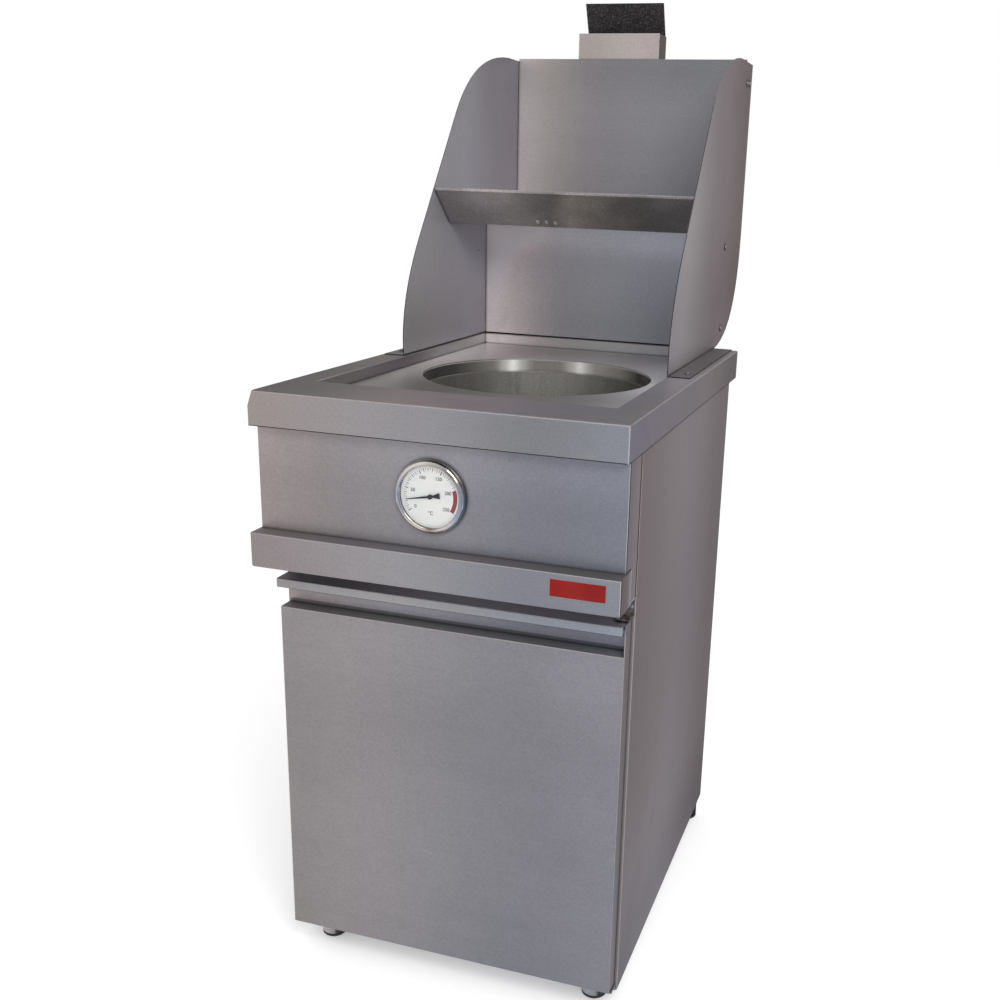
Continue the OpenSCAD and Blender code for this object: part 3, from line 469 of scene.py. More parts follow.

# Each plan paints light, shade and reflection into the tone of the steel, face by face
brushed(
    "steel_front", ["front_panel"],
    front={
        "x": [
            (-235, 414, 365, 355), (-120, 296, 286, 296), (0, 384, 387, 411), (120, 238, 243, 287),
            (235, 271, 290, 332),
        ],
        "z": [(642, 975), (690, 911), (740, 843), (790, 1101)],
    },
    side={"y": [(-430, 187, 193, 243), (-380, 311, 258, 250)]},
    strips=[
        ("side", "y", -428, -423.5, seam),
        ("side", "y", -377.5, -371, seam),
        # A painted highlight on the panel's right fold
        ("front", "x", 247, 248.4, lit_edge),
    ],
    clouds=1.3,
)
brushed(
    "steel_rail", ["front_rail"],
    front={"x": [
        (-235, 300, 268, 270), (-120, 358, 339, 352), (0, 339, 353, 365), (120, 243, 243, 291),
        (235, 298, 312, 342),
    ]},
    up={"x": [(-230, 192, 168, 173), (0, 231, 218, 237), (230, 114, 111, 103)]},
    side={"y": [
        (-450, 140, 115, 120), (-430, 205, 165, 160), (-418, 210, 155, 145), (-405, 360, 460, 530),
        (-380, 550, 800, 950),
    ]},
    strips=[
        ("side", "y", -453.5, -448.5, seam),
        ("side", "y", -377.5, -370, seam),
        # Painted highlights along the rail's folds and its right corner
        ("front", "z", 663.6, 665.5, (480, 460, 460)),
        ("front", "z", 617.5, 619, (440, 420, 430)),
        ("front", "x", 248.4, 249.8, (550, 530, 520)),
    ],
    clouds=1.3,
)
steel_door = brushed(
    "steel_door", ["door_skin"],
    front={
        "x": [
            (-225, 309, 294, 294), (-120, 372, 353, 362), (0, 298, 304, 319), (120, 273, 268, 294),
            (230, 320, 316, 341),
        ],
        "z": [(90, 939), (250, 987), (400, 868), (520, 1054)],
    },
    up={"x": [(-225, 118, 115, 124), (-120, 264, 249, 225), (230, 249, 250, 298)]},
    side={"y": [(-398, 214, 184, 189)]},
    strips=[
        # Painted highlights along the door's edges and its top fold
        ("front", "x", 243.4, 244.5, (520, 485, 475)),
        ("front", "z", 543.6, 545.5, lit_fold),
        ("front", "x", -244.5, -243, lit_edge),
    ],
    clouds=1.5, lines=1.2,
)
print("three finishes for the front")

# %% [markdown]
# ## Worktop and side panels
#
# The worktop is one pressed sheet, so its rim, its recessed floor, the wall of the recess and the
# rear upstand share one material. The last three are strips with plans of their own.

# %% Worktop and side panels
# The worktop's plans, with those for its recess and upstand, paint light and shade
recessed_floor = {
    "x": [
        (-200, 426, 403, 395), (-120, 110, 102, 95), (0, 239, 221, 213), (120, 185, 180, 176),
        (200, 520, 510, 530),
    ],
    "y": [(-290, 1100), (-150, 850), (50, 4053), (215, 1800)],
}
recess_wall = {"y": [
    (-250, 277, 256, 248), (-150, 240, 206, 240), (-50, 122, 102, 107), (50, 391, 374, 382),
    (150, 406, 406, 411),
]}
rear_upstand = {"x": [
    (-180, 1000, 928, 915), (-100, 449, 392, 396), (0, 419, 454, 443), (100, 515, 522, 554),
]}
brushed(
    "steel_deck", ["worktop"],
    front={"x": [
        (-235, 378, 327, 305), (0, 334, 347, 379), (120, 216, 220, 224), (235, 290, 309, 348),
    ]},
    up={
        "x": [
            (-230, 139, 123, 123), (-120, 206, 188, 182), (0, 389, 316, 329), (120, 231, 224, 270),
            (245, 285, 268, 280),
        ],
        "y": [(-400, 806), (-250, 865), (-100, 1381), (60, 1058)],
    },
    side={"y": [(-400, 228, 217, 277), (0, 300, 275, 262), (200, 154, 141, 144)]},
    strips=[
        ("up", "z", 825, 842, recessed_floor),
        ("side", "x", -209, -205, recess_wall),
        ("front", "y", 240, 252, rear_upstand),
        # Painted shadow under the apron's edge, and painted highlights on its folds and right
        # corner
        ("front", "z", 803, 805.1, apron_shadow_line),
        ("front", "z", 848.4, 850.5, lit_fold),
        ("front", "x", 248.4, 250.5, (500, 490, 500)),
        ("side", "z", 803, 805.1, apron_shadow_line),
        ("side", "z", 848.4, 850.5, (400, 380, 385)),
    ],
    rough=0.42,
)
brushed(
    "steel_side", ["side_panel_left", "side_panel_right"],
    front={"x": [
        (-248, 450, 430, 420), (-244, 360, 335, 330), (244, 360, 335, 330), (247.2, 420, 390, 385),
        (248, 500, 480, 470),
    ]},
    side={
        "y": [
            (-350, 230, 195, 196), (-200, 321, 294, 302), (-50, 327, 305, 324),
            (150, 215, 192, 195),
        ],
        "z": [(80, 626), (200, 1047), (400, 863), (600, 917), (780, 1027)],
    },
    # A painted highlight on the fold at the front of each side panel
    strips=[("side", "y", -371.5, -369.6, (520, 495, 480))],
    grain="z", rough=0.4, clouds=0.8,
)
print("two finishes for the worktop and the sides")

# %% [markdown]
# ## The splash guard
#
# Its side panels stand close to the back panels and shade them, and the lower back panel brightens
# towards the shelf; both are painted into their plans. The shelf is another sheet, darker and more
# mottled, and its painted light and shade run along a slanting line.

# %% Sheets of the splash guard
# The plans of the splash guard paint the shade of its side panels and the light towards the shelf
brushed(
    "steel_guard_left", ["guard_side_left"],
    front={"x": [(-207, 50, 45, 47)]},
    up={"x": [(-240, 170, 160, 160), (240, 170, 155, 155)]},
    side={
        "y": [(0, 614, 589, 592), (150, 659, 650, 740), (250, 503, 477, 538), (380, 319, 299, 348)],
        "z": [(880, 508), (980, 865), (1120, 769), (1250, 524)],
    },
    # Painted shadow in the dark joint at the foot of the panel
    strips=[("side", "z", 849, 852.8, seam_shadow)],
    grain="z", rough=0.42, metal=0.5,
)
brushed(
    "steel_guard_right", ["guard_side_right"],
    front={"x": [(-207, 50, 45, 47)]},
    up={"x": [(-240, 170, 160, 160), (240, 170, 155, 155)]},
    side={
        "y": [(0, 540, 514, 531), (140, 318, 298, 293), (280, 309, 258, 284), (420, 219, 180, 166)],
        "z": [(880, 855), (950, 737), (1080, 1055), (1250, 932)],
    },
    strips=[("side", "z", 849, 852.4, seam)],
    grain="z", rough=0.4,
)
brushed(
    "steel_back_low", ["guard_back_lower"],
    front={
        "x": [
            (-195, 1150, 1050, 1050), (-150, 800, 700, 690), (-80, 383, 381, 406),
            (0, 426, 443, 475), (110, 439, 461, 523),
        ],
        "z": [(870, 800), (920, 890), (990, 1120), (1030, 2100)],
    },
    # Painted shadow in the dark joint at the foot of the panel
    strips=[("front", "z", 849, 852.6, seam_shadow)],
    rough=0.38, metal=0.55,
)
brushed(
    "steel_back_high", ["guard_back_upper"],
    front={
        "x": [
            (-195, 840, 770, 755), (-150, 565, 525, 478), (-80, 333, 315, 328), (0, 338, 335, 357),
            (120, 303, 315, 332),
        ],
        "z": [(1120, 967), (1180, 929), (1250, 905), (1305, 705)],
    },
    rough=0.38,
)
brushed(
    "steel_shelf", ["guard_shelf"],
    front={"slant": [
        (-170, 410, 381, 387), (-80, 440, 409, 416), (-40, 360, 335, 340), (-5, 285, 262, 259),
        (30, 480, 442, 413), (60, 390, 359, 335), (100, 265, 246, 246), (150, 230, 216, 221),
        (220, 243, 228, 236),
    ]},
    # A painted highlight along the shelf's top fold
    strips=[("front", "z", 1097.7, 1099.5, (420, 400, 395))],
    rough=0.34, clouds=1.4, speckles=2.8, patches=0.45,
)
print("five finishes for the splash guard")

# %% [markdown]
# ## Grip, flue, pot and feet
#
# The ring round the pot is polished, so its colour is a painted reflection that goes by the angle:
# the room in narrow bright and dark sectors, some of which glow as painted glints. The foot sockets
# are round too, but so small that stops a few millimetres apart paint the same for them.

# %% Grip, flue, pot, feet and the inside
# Painted light and shade on the wall behind the grip's lip, by height, and in the plans below
grip_wall = {
    "x": [
        (-225, 460, 388, 398), (-120, 470, 481, 505), (0, 399, 407, 471), (120, 276, 282, 309),
        (225, 303, 320, 386),
    ],
    "z": [(545, 550), (550, 550), (551, 1150), (563, 900)],
}
brushed(
    "steel_grip", ["door_grip"],
    front={"x": [
        (-225, 353, 359, 356), (-120, 451, 450, 467), (0, 396, 402, 407), (120, 354, 382, 428),
        (225, 359, 400, 457),
    ]},
    up={"x": [
        (-225, 96, 95, 107), (-120, 176, 152, 173), (0, 525, 537, 595), (225, 282, 249, 326),
    ]},
    side={"y": [(-408, 50, 47, 50)]},
    strips=[
        ("front", "y", -378, -372, grip_wall),
        ("front", "z", 575.8, 577.2, (130, 130, 140)),
    ],
    rough=0.34,
)
brushed(
    "steel_flue", ["flue_riser", "flue_elbow"],
    front={"x": [
        (-85, 453, 406, 392), (-40, 482, 444, 399), (10, 550, 496, 476), (45, 510, 437, 426),
    ]},
    side={"y": [(400, 164, 144, 119)]},
    grain="z", rough=0.42, lines=0.7,
)
brushed(
    "steel_collar", ["pot_collar"],
    # Painted reflection round the ring: bright and dark sectors by the angle
    front={"turn": [
        (-180, 75, 70, 66), (-90, 420, 400, 380), (0, 250, 240, 230), (22, 120, 113, 108),
        (42, 75, 70, 66), (60, 420, 400, 370), (76, 550, 530, 500), (86, 1000, 970, 930),
        (97, 420, 400, 370), (111, 400, 380, 355), (123, 1000, 970, 930), (134, 420, 400, 375),
        (146, 250, 238, 220), (160, 100, 94, 88), (180, 75, 70, 66),
    ]},
    strips=[
        # Painted highlights: two thin bright lines round the ring
        ("front", "z", 811, 812.6, (620, 600, 560)),
        ("side", "z", 811, 812.6, (620, 600, 560)),
        ("front", "z", 829.3, 830.8, (750, 730, 700)),
        ("side", "z", 829.3, 830.8, (750, 730, 700)),
    ],
    # Painted glints, which glow
    glints=[
        (-180, 0), (-100, 0), (-90, 100), (-80, 0), (76, 0), (81, 50), (85, 200), (89, 70), (94, 0),
        (114, 0), (119, 100), (123, 340), (127, 120), (132, 0),
    ],
    grain="z", rough=0.24, lines=1.6, metal=0.5,
)
brushed(
    "steel_tank", ["tank_wall", "tank_bottom"],
    # Painted shade and reflection: the wall is lighter at the back and darker at the sides
    front={"turn": [
        (-180, 240, 230, 210), (-90, 360, 345, 315), (0, 180, 170, 155), (45, 160, 150, 140),
        (70, 270, 260, 240), (90, 420, 405, 375), (105, 360, 345, 320), (135, 310, 300, 275),
        (152, 250, 240, 220), (165, 210, 200, 185), (180, 240, 230, 210),
    ]},
    grain="z", rough=0.44, clouds=1.4, lines=6.0, speckles=2.2,
)
brushed(
    "steel_foot", ["foot_sockets"],
    # Painted reflection: a light band and a dark right side on each round socket
    front={"x": [
        (-227, 160, 160, 160), (-223, 420, 420, 420), (-213, 520, 520, 510), (-201, 400, 400, 400),
        (-198, 70, 70, 70), (-188, 20, 20, 20), (189, 160, 160, 160), (193, 420, 420, 420),
        (203, 520, 520, 510), (215, 400, 400, 400), (218, 70, 70, 70), (246, 20, 20, 20),
    ]},
    grain="z", rough=0.3, lines=0.7, metal=0.8,
)
brushed(
    "steel_inside",
    ["base_pan", "rear_panel", "front_crossbar", "cross_rails", "heat_shield", "door_liner",
     "control_bracket"],
    front={"x": [(0, 400, 400, 405)]},
    rough=0.44, lines=0.5, clouds=1.3,
)
print("six finishes for the smaller sheets")

# %% [markdown]
# ## Cast, turned and plated metal
#
# Cast iron is dark, pitted and never even. Brass fittings are turned, so they shine, but heat and
# hands have dulled them in patches. Zinc plate is cold and a little cloudy. One function makes all
# of them from a colour, a second one for the dulled patches, and the depth of the small pits.


# %% Metals that aren't brushed sheet
def plain_metal(
        name, colour, dulled, rough, pits=0.0, patch_scale=30.0, patch_from=0.52, shine=1.0):
    """A metal with dulled patches and, if wanted, pits."""
    material, place = start_finish(name)
    patches = place.noise(patch_scale, 5.0)
    fine = place.noise(900.0, 3.0)
    dull = patches.between(patch_from - 0.1, patch_from + 0.14)
    roughness = dull * 0.16 + (fine - 0.5) * 0.16 + rough
    surface = {"Base Color": dull.blend(linear(colour), linear(dulled)), "Roughness": roughness}
    surface |= {"Normal": fine.bump(0.15 + pits, 0.0004), "Metallic": shine}
    return end_finish(material, place, surface)


zinc = plain_metal("zinc_plate", (460, 460, 480), (340, 340, 355), 0.34)
screw_steel = plain_metal(
    "screw_steel", (300, 280, 275), (200, 190, 185), 0.34, patch_scale=200.0, shine=0.75)
iron = plain_metal("cast_iron", (75, 70, 68), (120, 85, 60), 0.62, pits=0.55, shine=0.7)
brass = plain_metal("turned_brass", (600, 430, 170), (360, 250, 110), 0.27, patch_scale=60.0)
aluminium = plain_metal("diecast_aluminium", (500, 500, 520), (380, 380, 400), 0.42, pits=0.15)
shroud_skin = plain_metal("heated_sheet", (300, 285, 270), (220, 160, 110), 0.42, patch_scale=6.0)
dark_zinc = plain_metal(
    "hinge_zinc", (200, 185, 180), (45, 38, 33), 0.45, patch_scale=110.0, patch_from=0.50,
    shine=0.7)
print("seven other metals")

# %% [markdown]
# ## Chrome on the bezel
#
# A polished ring is a small round mirror: every part of it shows another piece of the room. So its
# colour is a painted reflection that goes by the angle round the dial, in bright and dark sectors,
# and its outermost edge is painted darker.

# %% The polished ring
sectors = [
    (-180, 520, 580, 680), (-150, 660, 680, 720), (-130, 1000, 950, 860), (-105, 950, 880, 760),
    (-88, 500, 420, 360), (-70, 1000, 950, 930), (-48, 920, 960, 1000), (-30, 620, 700, 800),
    (0, 460, 500, 570), (30, 550, 520, 480), (48, 360, 320, 280), (66, 560, 570, 530),
    (84, 720, 700, 640), (100, 1000, 970, 900), (135, 1000, 960, 900), (155, 740, 780, 840),
    (180, 520, 580, 680),
]
rings = [(41, 850), (43, 1000), (46, 1000), (47.2, 550)]
chrome, place = start_finish("bezel_chrome")
across = place.part(0) * 1000 - gauge_x
upward = place.part(2) * 1000 - gauge_z
squared = across * across + upward * upward
from_middle = squared.sum("SQRT", squared)
# Painted reflection: sectors by the angle, times rings that darken the inner and outer edge
mirror = multiplied(place, toned(angle(upward, across), sectors), toned(from_middle, rings))
haze = place.noise(120.0, 3.0) * 0.08 + 0.06
end_finish(chrome, place, {"Base Color": mirror, "Roughness": haze, "Metallic": 1.0})
print("the bezel is polished")

# %% [markdown]
# ## Plastic, rubber and paint
#
# Moulded plastic has a fine leathery skin and is worn smoother where it is touched. The baked paint
# on the deflector was hot many times: it is nearly black and grainy. The same function serves both,
# with the size and depth of the skin as its values.


# %% Skins that aren't metal
def moulded(name, colour, second, rough, skin=420.0, depth=0.25, coat=0.0, grains=0.0, gloss=0.5):
    """Plastic, rubber or paint: two near colours, a fine skin, pale grains and a clear coat."""
    material, place = start_finish(name)
    skin_noise = place.noise(skin, 3.0)
    worn = place.noise(24.0, 4.0)
    shade = worn.between(0.42, 0.68).blend(linear(colour), linear(second))
    if grains:
        grain = place.noise(430.0, 2.0, Roughness=0.7)
        shade = grain.between(0.48, 0.66).blend(shade, (grains, grains * 0.93, grains * 0.92, 1))
    roughness = (skin_noise - 0.5) * 0.2 + (worn - 0.5) * 0.2 + rough
    surface = {"Base Color": shade, "Roughness": roughness, "Metallic": 0.0}
    surface["Normal"] = skin_noise.bump(depth, 0.0004)
    surface |= {"Coat Weight": coat, "Coat Roughness": 0.12, "Specular IOR Level": gloss}
    return end_finish(material, place, surface)


ink = {"skin": 900.0, "depth": 0.04}
pad_plastic = moulded("pad_plastic", (18, 18, 19), (32, 31, 30), 0.55)
rubber = moulded("buffer_rubber", (20, 20, 20), (35, 34, 33), 0.72, skin=700.0)
catch_plastic = moulded("catch_plastic", (50, 50, 50), (70, 68, 66), 0.5)
knob_plastic = moulded("knob_plastic", (22, 22, 24), (35, 35, 37), 0.42)
button_plastic = moulded(
    "button_plastic", (420, 20, 16), (500, 32, 24), 0.30, depth=0.06, coat=0.3)
lever_paint = moulded("lever_sleeve", (440, 24, 18), (520, 45, 30), 0.38, depth=0.12, coat=0.2)
flue_paint = moulded(
    "deflector_paint", (7, 6, 6.5), (20, 15, 14.5), 0.62, skin=330.0, depth=0.6, grains=0.075)
dial_paint = moulded("dial_paint", (790, 810, 800), (830, 835, 810), 0.50, **ink)
needle_paint = moulded(
    "needle_paint", (12, 14, 18), (22, 23, 26), 0.45, skin=900.0, depth=0.1)
red_print = moulded("red_print", (270, 34, 50), (310, 45, 60), 0.55, **ink)
black_print = moulded("black_print", (20, 23, 28), (40, 43, 50), 0.6, **ink)
badge_enamel = moulded(
    "badge_enamel", (190, 6, 5), (235, 9.5, 8), 0.55, skin=700.0, depth=0.05, gloss=0.18)
print("twelve plastics, paints and inks")

# %% [markdown]
# ## Glass over the dial
#
# The pane is clear where it is seen straight on and shines where it is seen from the side. A
# Fresnel node gives that change, and a little dust makes the shine uneven.

# %% Glass
glass, through = start_finish("dial_glass")
dusty = through.noise(260.0, 4.0).between(0.3, 0.8, 0.02, 0.14)
shine = through.node("ShaderNodeBsdfGlossy", inputs={"Color": white, "Roughness": dusty})
clear = through.node("ShaderNodeBsdfTransparent", inputs={"Color": white})
edge_on = through.node("ShaderNodeFresnel", inputs={"IOR": 1.25})
pane = through.node("ShaderNodeMixShader", inputs={0: edge_on, 1: clear, 2: shine})
through.node("ShaderNodeOutputMaterial", inputs={"Surface": pane}, out=None)
print("glass over the dial")

# %% [markdown]
# ## Dressing the other solids
#
# The sheets are dressed already. A dictionary names the solids for each other finish, and the print
# shows whether one was forgotten.

# %% Which solid wears which finish
corners = ("front_left", "front_right", "rear_left", "rear_right")
wardrobe = {
    shroud_skin: ["burner_shroud"],
    zinc: [
        *(f"foot_screw_{corner}" for corner in corners), "thermometer_case", "thermometer_stem",
        "door_bushings", "door_strike", "hinge_bracket_bottom", "drain_pipe",
    ],
    dark_zinc: ["hinge_bracket_top"],
    iron: ["ring_burner"],
    brass: ["injector_pipe", "pilot_burner", "gas_inlet_pipe", "drain_valve"],
    aluminium: ["gas_valve", "limit_thermostat"],
    chrome: ["thermometer_bezel"],
    dial_paint: ["thermometer_dial"],
    glass: ["thermometer_glass"],
    needle_paint: ["thermometer_needle"],
    pad_plastic: [f"foot_pad_{corner}" for corner in corners],
    rubber: ["door_buffers"],
    catch_plastic: ["magnet_catch"],
    knob_plastic: ["gas_knob", "igniter_body"],
    button_plastic: ["igniter_button"],
    lever_paint: ["drain_lever"],
    flue_paint: ["flue_deflector"],
}
for finish, names in wardrobe.items():
    dress(finish, names)
print(len(dressed), "dressed, forgotten:", sorted(set(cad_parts) - dressed))

# %% [markdown]
# ## Folds that catch the light
#
# Folded sheet has no sharp corners: each fold is a small round that shows as a thin bright line.
# The solids keep sharp corners, which is right for measuring. A Bevel modifier rounds them for the
# picture without touching the vertices. Before it, a Weld modifier joins the corners that the file
# keeps apart, because a bevel can't round an edge whose two faces aren't joined.

# %% Rounded folds
folds = {
    "worktop": 0.9, "front_panel": 0.5, "front_rail": 0.6, "door_skin": 0.8, "door_grip": 0.6,
    "side_panel_left": 0.5, "side_panel_right": 0.5, "flue_riser": 0.5, "flue_deflector": 0.5,
    "guard_side_left": 0.45, "guard_side_right": 0.45, "guard_back_lower": 0.45,
    "guard_back_upper": 0.45, "gas_knob": 0.5,
}
for name, radius in folds.items():
    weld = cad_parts[name].modifiers.new("join_corners", "WELD")
    weld.merge_threshold = 0.02 * mm
    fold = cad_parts[name].modifiers.new("round_folds", "BEVEL")
    fold.width = radius * mm
    fold.segments = 2
    fold.limit_method = "ANGLE"
    fold.angle_limit = radians(30)
    fold.harden_normals = True
print(len(folds), "solids with rounded folds")

# %% [markdown]
# ## Tools for small pieces
#
# What follows is built face by face in a bmesh, a mesh that a script can edit. Each piece gets its
# finish and then rides on the body that carries it, such as the door.


# %% Slabs, circles and pieces
def piece_from(name, made, material, body):
    """Turns a bmesh into an object with its finish, riding on a body."""
    mesh = bpy.data.meshes.new(name)
    bmesh.ops.recalc_face_normals(made, faces=made.faces)
    made.to_mesh(mesh)
    made.free()
    mesh.materials.append(material)
    piece = bpy.data.objects.new(name, mesh)
    bpy.context.scene.collection.objects.link(piece)
    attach(piece, body)


def circle(radius, count):
    """Points round a circle, as pairs of numbers."""
    turns = [2 * pi * i / count for i in range(count)]
    return [(cos(turn) * radius, sin(turn) * radius) for turn in turns]


def upright(pairs, x, y, z):
    """Pairs of numbers as points that stand upright round a place in millimetres."""
    return [Vector((x + across, y, z + above)) * mm for across, above in pairs]


def join_loops(made, low, high):
    """A band of faces between two loops with the same number of points."""
    for i in range(len(low)):
        j = (i + 1) % len(low)
        made.faces.new((low[i], low[j], high[j], high[i]))


def add_slab(made, outline, front, back, outward=(0, -1, 0)):
    """A flat shape, so many millimetres thick in front of its outline and behind it."""
    step = Vector(outward) * mm
    behind = [made.verts.new(p - step * back) for p in outline]
    ahead_of = [made.verts.new(p + step * front) for p in outline]
    made.faces.new(behind)
    made.faces.new(reversed(ahead_of))
    join_loops(made, ahead_of, behind)


print("slabs and circles can be made")

# %% [markdown]
# ## The printed dial
#
# The gauge runs clockwise from 0 at the lower left to 250 degrees at the lower right, one degree of
# the scale for one degree of turn. The print is ink, so each mark is a thin flat shape a tenth of a
# millimetre before the disc. Its angle comes from its temperature, so it can't stand in the wrong
# place. The red band takes the place of the marks above 200 degrees.

# %% Marks on the dial
dial_middle = Vector((gauge_x, -430.8, gauge_z)) * mm
ink_depth = 0.12
zero_angle = 215
marks_end, mark_out = 200, 36.4
long_mark, middle_mark, short_mark = (31.0, 0.46), (32.2, 0.30), (33.2, 0.21)


def on_dial(degrees, radius):
    """A point on the dial for a temperature and a distance from the middle in millimetres."""
    turn = radians(zero_angle - degrees)
    return dial_middle + Vector((cos(turn) * radius, 0, sin(turn) * radius)) * mm


marks = bmesh.new()
for degrees in range(0, marks_end, 5):
    mark = long_mark if degrees % 50 == 0 else middle_mark if degrees % 10 == 0 else short_mark
    mark_in, half_width = mark
    a, b = on_dial(degrees, mark_in), on_dial(degrees, mark_out)
    side = (b - a).normalized().cross(Vector((0, 1, 0))) * half_width * mm
    add_slab(marks, [a - side, b - side, b + side, a + side], ink_depth, 0)
piece_from("dial_marks", marks, black_print, "cabinet")

red_start, red_end, red_in, red_out, red_step = 197, 247, 30.6, 36.0, 2.5
red_steps = range(int((red_end - red_start) / red_step) + 1)
red_outline = [on_dial(red_start + step * red_step, red_out) for step in red_steps]
red_outline += [on_dial(red_end - step * red_step, red_in) for step in red_steps]
danger = bmesh.new()
add_slab(danger, red_outline, ink_depth * 0.8, 0)
piece_from("dial_red_band", danger, red_print, "cabinet")
print("marks every 5 degrees up to the red band")

# %% [markdown]
# ## Numbers on the dial
#
# Blender's own font is plain enough for a gauge. Each number is a text object, turned into a mesh
# and stood up to face the front, and all of them are gathered in one piece.

# %% Numbers and the unit
number_height, unit_height, unit_drop = 6.2, 6.4, 21.5
number_radii = {0: 25.0, 50: 24.5, 100: 25.6, 150: 25.6, 200: 24.4, 250: 25.6}


def add_text(made, words, middle, height):
    """Adds words to a mesh, facing the front and centred before a point."""
    curve = bpy.data.curves.new("words", "FONT")
    curve.body = words
    curve.size = height * mm
    curve.align_x = curve.align_y = "CENTER"
    curve.extrude = ink_depth * 0.25 * mm
    curve.offset = 0.09 * mm
    curve.resolution_u = 4
    holder = bpy.data.objects.new("words", curve)
    shape = bpy.data.meshes.new_from_object(holder)
    before = Vector((0, -ink_depth * 0.5, 0)) * mm
    shape.transform(Matrix.Translation(middle + before) @ Matrix.Rotation(pi / 2, 4, "X"))
    made.from_mesh(shape)
    bpy.data.objects.remove(holder)
    bpy.data.meshes.remove(shape)


numbers = bmesh.new()
for degrees, radius in number_radii.items():
    add_text(numbers, str(degrees), on_dial(degrees, radius), number_height)
add_text(numbers, "°C", dial_middle - Vector((0, 0, unit_drop)) * mm, unit_height)
piece_from("dial_numbers", numbers, black_print, "cabinet")
print(len(number_radii), "numbers and the unit")

# %% [markdown]
# ## The name plate, left bare
#
# A small enamelled plate is glued to the right end of the rail. Here it carries nothing. It has
# rounded corners and a fine bright rim, so it is two thin shapes, one in the other.

# %% Bare plate on the rail
plate_left, plate_right, plate_low, plate_high = 160, 232, 634, 657.5
plate_rim = 0.8


def rounded(x0, x1, z0, z1, radius):
    """A rectangle with round corners on the rail's face, in millimetres."""
    middles = [
        (x1 - radius, z1 - radius, 0), (x0 + radius, z1 - radius, 90),
        (x0 + radius, z0 + radius, 180), (x1 - radius, z0 + radius, 270),
    ]
    points = []
    for middle_x, middle_z, start in middles:
        for step in range(5):
            turn = radians(start + step * 22.5)
            points.append((middle_x + cos(turn) * radius, middle_z + sin(turn) * radius))
    return upright(points, 0, rail_face_y, 0)


rim = bmesh.new()
add_slab(rim, rounded(plate_left, plate_right, plate_low, plate_high, 1.2), 0.25, 0.3)
piece_from("name_plate_rim", rim, aluminium, "cabinet")
enamel = bmesh.new()
enamel_outline = rounded(
    plate_left + plate_rim, plate_right - plate_rim,
    plate_low + plate_rim, plate_high - plate_rim, 1.0)
add_slab(enamel, enamel_outline, 0.32, 0.2)
piece_from("name_plate", enamel, badge_enamel, "cabinet")
print("bare plate", plate_right - plate_left, "by", plate_high - plate_low, "mm")

# %% [markdown]
# ## A pan head with a cross
#
# Small pan-head screws hold the splash guard. A head is a low dome on a straight rim, with a cross
# pressed into it. The dome is a set of rings, and the points inside the cross are pushed down, so
# nothing is cut. Round the larger heads a thin dark ring of painted shade marks the joint.

# %% Heads and the painted shade round them
# Each ring of the dome: its radius and its height, as shares of the head's own
dome = [
    (1.0, 0.0), (1.0, 0.45), (0.93, 0.72), (0.78, 0.90), (0.62, 0.96), (0.5, 0.985), (0.36, 1.0),
    (0.2, 1.0),
]
cross_half_width, cross_reach, cross_depth = 0.16, 0.55, 0.5


def standing(place, outward):
    """The matrix that stands a piece on a point in millimetres, with its own Z outward."""
    stand = Vector(outward).to_track_quat("Z", "Y").to_matrix().to_4x4()
    return Matrix.Translation(Vector(place) * mm) @ stand


def add_head(made, place, outward, radius, height):
    """One screw head: place is where it touches the sheet, and outward is the way it points."""
    move = standing(place, outward)
    loops = []
    for ring_radius, ring_height in dome:
        loop = []
        for x, y in circle(ring_radius * radius, 32):
            near, far_out = sorted((abs(x), abs(y)))
            in_cross = near < cross_half_width * radius and far_out < cross_reach * radius
            z = ring_height * height - (cross_depth * height if in_cross else 0)
            loop.append(made.verts.new(move @ (Vector((x, y, z)) * mm)))
        loops.append(loop)
    for low, high in zip(loops, loops[1:]):
        join_loops(made, low, high)
    made.faces.new(loops[-1])


def add_joint(made, place, outward, radius):
    """Painted shade round a screw: a dark thin disc under the head, which leaves its edge free."""
    move = standing(place, outward)
    outline = [move @ (Vector((x, y, 0)) * mm) for x, y in circle(radius, 28)]
    add_slab(made, outline, 0.5, 0.2, outward)


print("screw heads can be made")

# %% [markdown]
# ## The screws in their places
#
# Five screws hold each side of the splash guard, four through the panel and one through its foot.
# One more sits inside the left panel. Ten hold the rear panel, four the flue's joint and two the
# hinge bracket.

# %% Screws
guard_x, foot_x, foot_y, foot_z = 208.5, 229, -47.5, 851.5
lift = 0.4
guard_screws, screw_shade_rings = bmesh.new(), bmesh.new()
for side in (-1, 1):
    for y, z in ((402, 1286), (425, 1287.5), (298, 1017.5), (302, 880.5)):
        # Painted shade: a dark disc under each head
        add_joint(screw_shade_rings, (side * guard_x, y, z), (side, 0, 0), 6.4)
        add_head(guard_screws, (side * (guard_x + lift), y, z), (side, 0, 0), 3.9, 2.6)
    add_joint(screw_shade_rings, (side * foot_x, foot_y, foot_z), (0, 0, 1), 4.6)
    add_head(guard_screws, (side * foot_x, foot_y, foot_z + lift), (0, 0, 1), 3.4, 1.7)
add_head(guard_screws, (-207, 213, 996), (1, 0, 0), 1.7, 0.8)
piece_from("guard_screws", guard_screws, screw_steel, "cabinet")
piece_from("screw_shade_rings", screw_shade_rings, needle_paint, "cabinet")

flue_x, flue_half = -22, 74.5
rear_screws = bmesh.new()
for side in (-1, 1):
    for z in (62, 246, 430, 614, 798):
        add_head(rear_screws, (side * 238, 205.5, z), (0, 1, 0), 3.4, 1.6)
    for y in (415, 439):
        add_head(rear_screws, (flue_x + side * flue_half, y, 993), (side, 0, 0), 2.6, 1.2)
piece_from("rear_screws", rear_screws, zinc, "cabinet")

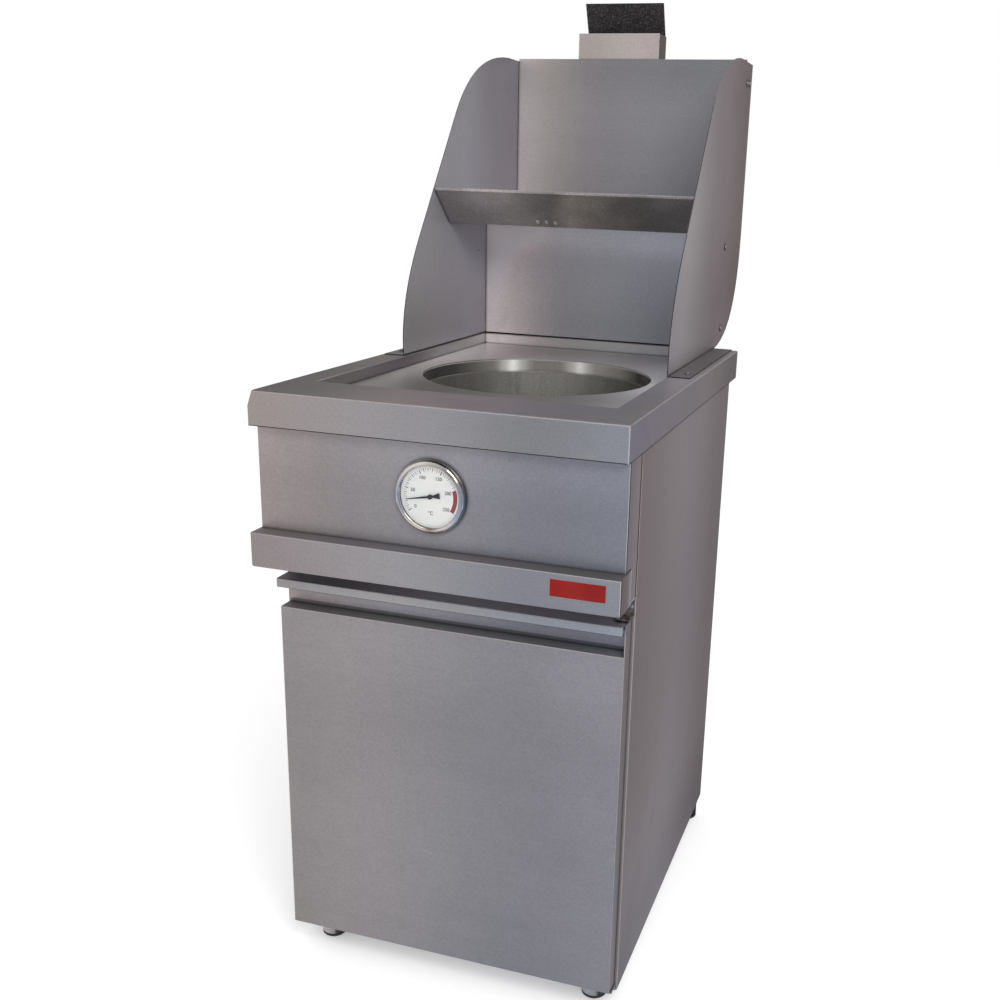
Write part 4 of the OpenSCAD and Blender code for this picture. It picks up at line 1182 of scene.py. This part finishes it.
hinge_screws = bmesh.new()
for x in (243.9, 231.5):
    add_head(hinge_screws, (x, -372.5, 604.3), (0, -1, 0), 2.1, 1.1)
piece_from("hinge_screws", hinge_screws, aluminium, "cabinet")
print("screws in three places")

# %% [markdown]
# ## Small parts of the door and the gas side
#
# A thin plate closes the right end of the door's grip. The gas knob has a white line, and three
# printed dots round it stand for off, pilot and on.

# %% End plate and knob marks
end_plate = bmesh.new()
profile = [(-373.5, 545.2), (-373.5, 588.6), (-396.5, 588.6), (-398.5, 586.6), (-398.5, 545.2)]
end_outline = [Vector((242.7, y, z)) * mm for y, z in profile]
add_slab(end_plate, end_outline, 1.3, 0, (1, 0, 0))
piece_from("grip_end_plate", end_plate, steel_door, "door")

knob_face_y, bracket_face_y, dots_radius = -332.5, -294.5, 25
line = bmesh.new()
line_corners = ((-0.9, 5), (0.9, 5), (0.9, 17), (-0.9, 17))
add_slab(line, upright(line_corners, knob_x, knob_face_y, knob_z), 0.2, 0.2)
piece_from("knob_line", line, dial_paint, "gas_control")

dots = bmesh.new()
for degrees, radius in ((90, 1.5), (0, 0.9), (-60, 2.0)):
    dot_x = knob_x + cos(radians(degrees)) * dots_radius
    dot_z = knob_z + sin(radians(degrees)) * dots_radius
    add_slab(dots, upright(circle(radius, 20), dot_x, bracket_face_y, dot_z), 0.12, 0.1)
piece_from("knob_dots", dots, black_print, "cabinet")
print("end plate, knob line and dots")

# %% [markdown]
# ## The thread of the gas inlet
#
# From any distance the thread on the inlet's male end is a row of ridges round the pipe. So it is a
# stack of rings of two radii, whose ends run into the pipe.

# %% Thread
thread_start, half_pitch, valley, ridge, inside_pipe = 223, 0.9, 10.55, 10.95, 10.2
turns = [(thread_start + i * half_pitch, valley if i % 2 else ridge) for i in range(19)]
thread_rings = [(222.6, inside_pipe), *turns, (239.6, inside_pipe)]
thread = bmesh.new()
loops = []
for y, radius in thread_rings:
    places = upright(circle(radius, 40), inlet_x, y, inlet_z)
    loops.append([thread.verts.new(place) for place in places])
for low, high in zip(loops, loops[1:] + loops[:1]):
    join_loops(thread, low, high)
piece_from("gas_inlet_thread", thread, brass, "cabinet")
print("a thread with", len(thread_rings) // 2, "ridges")
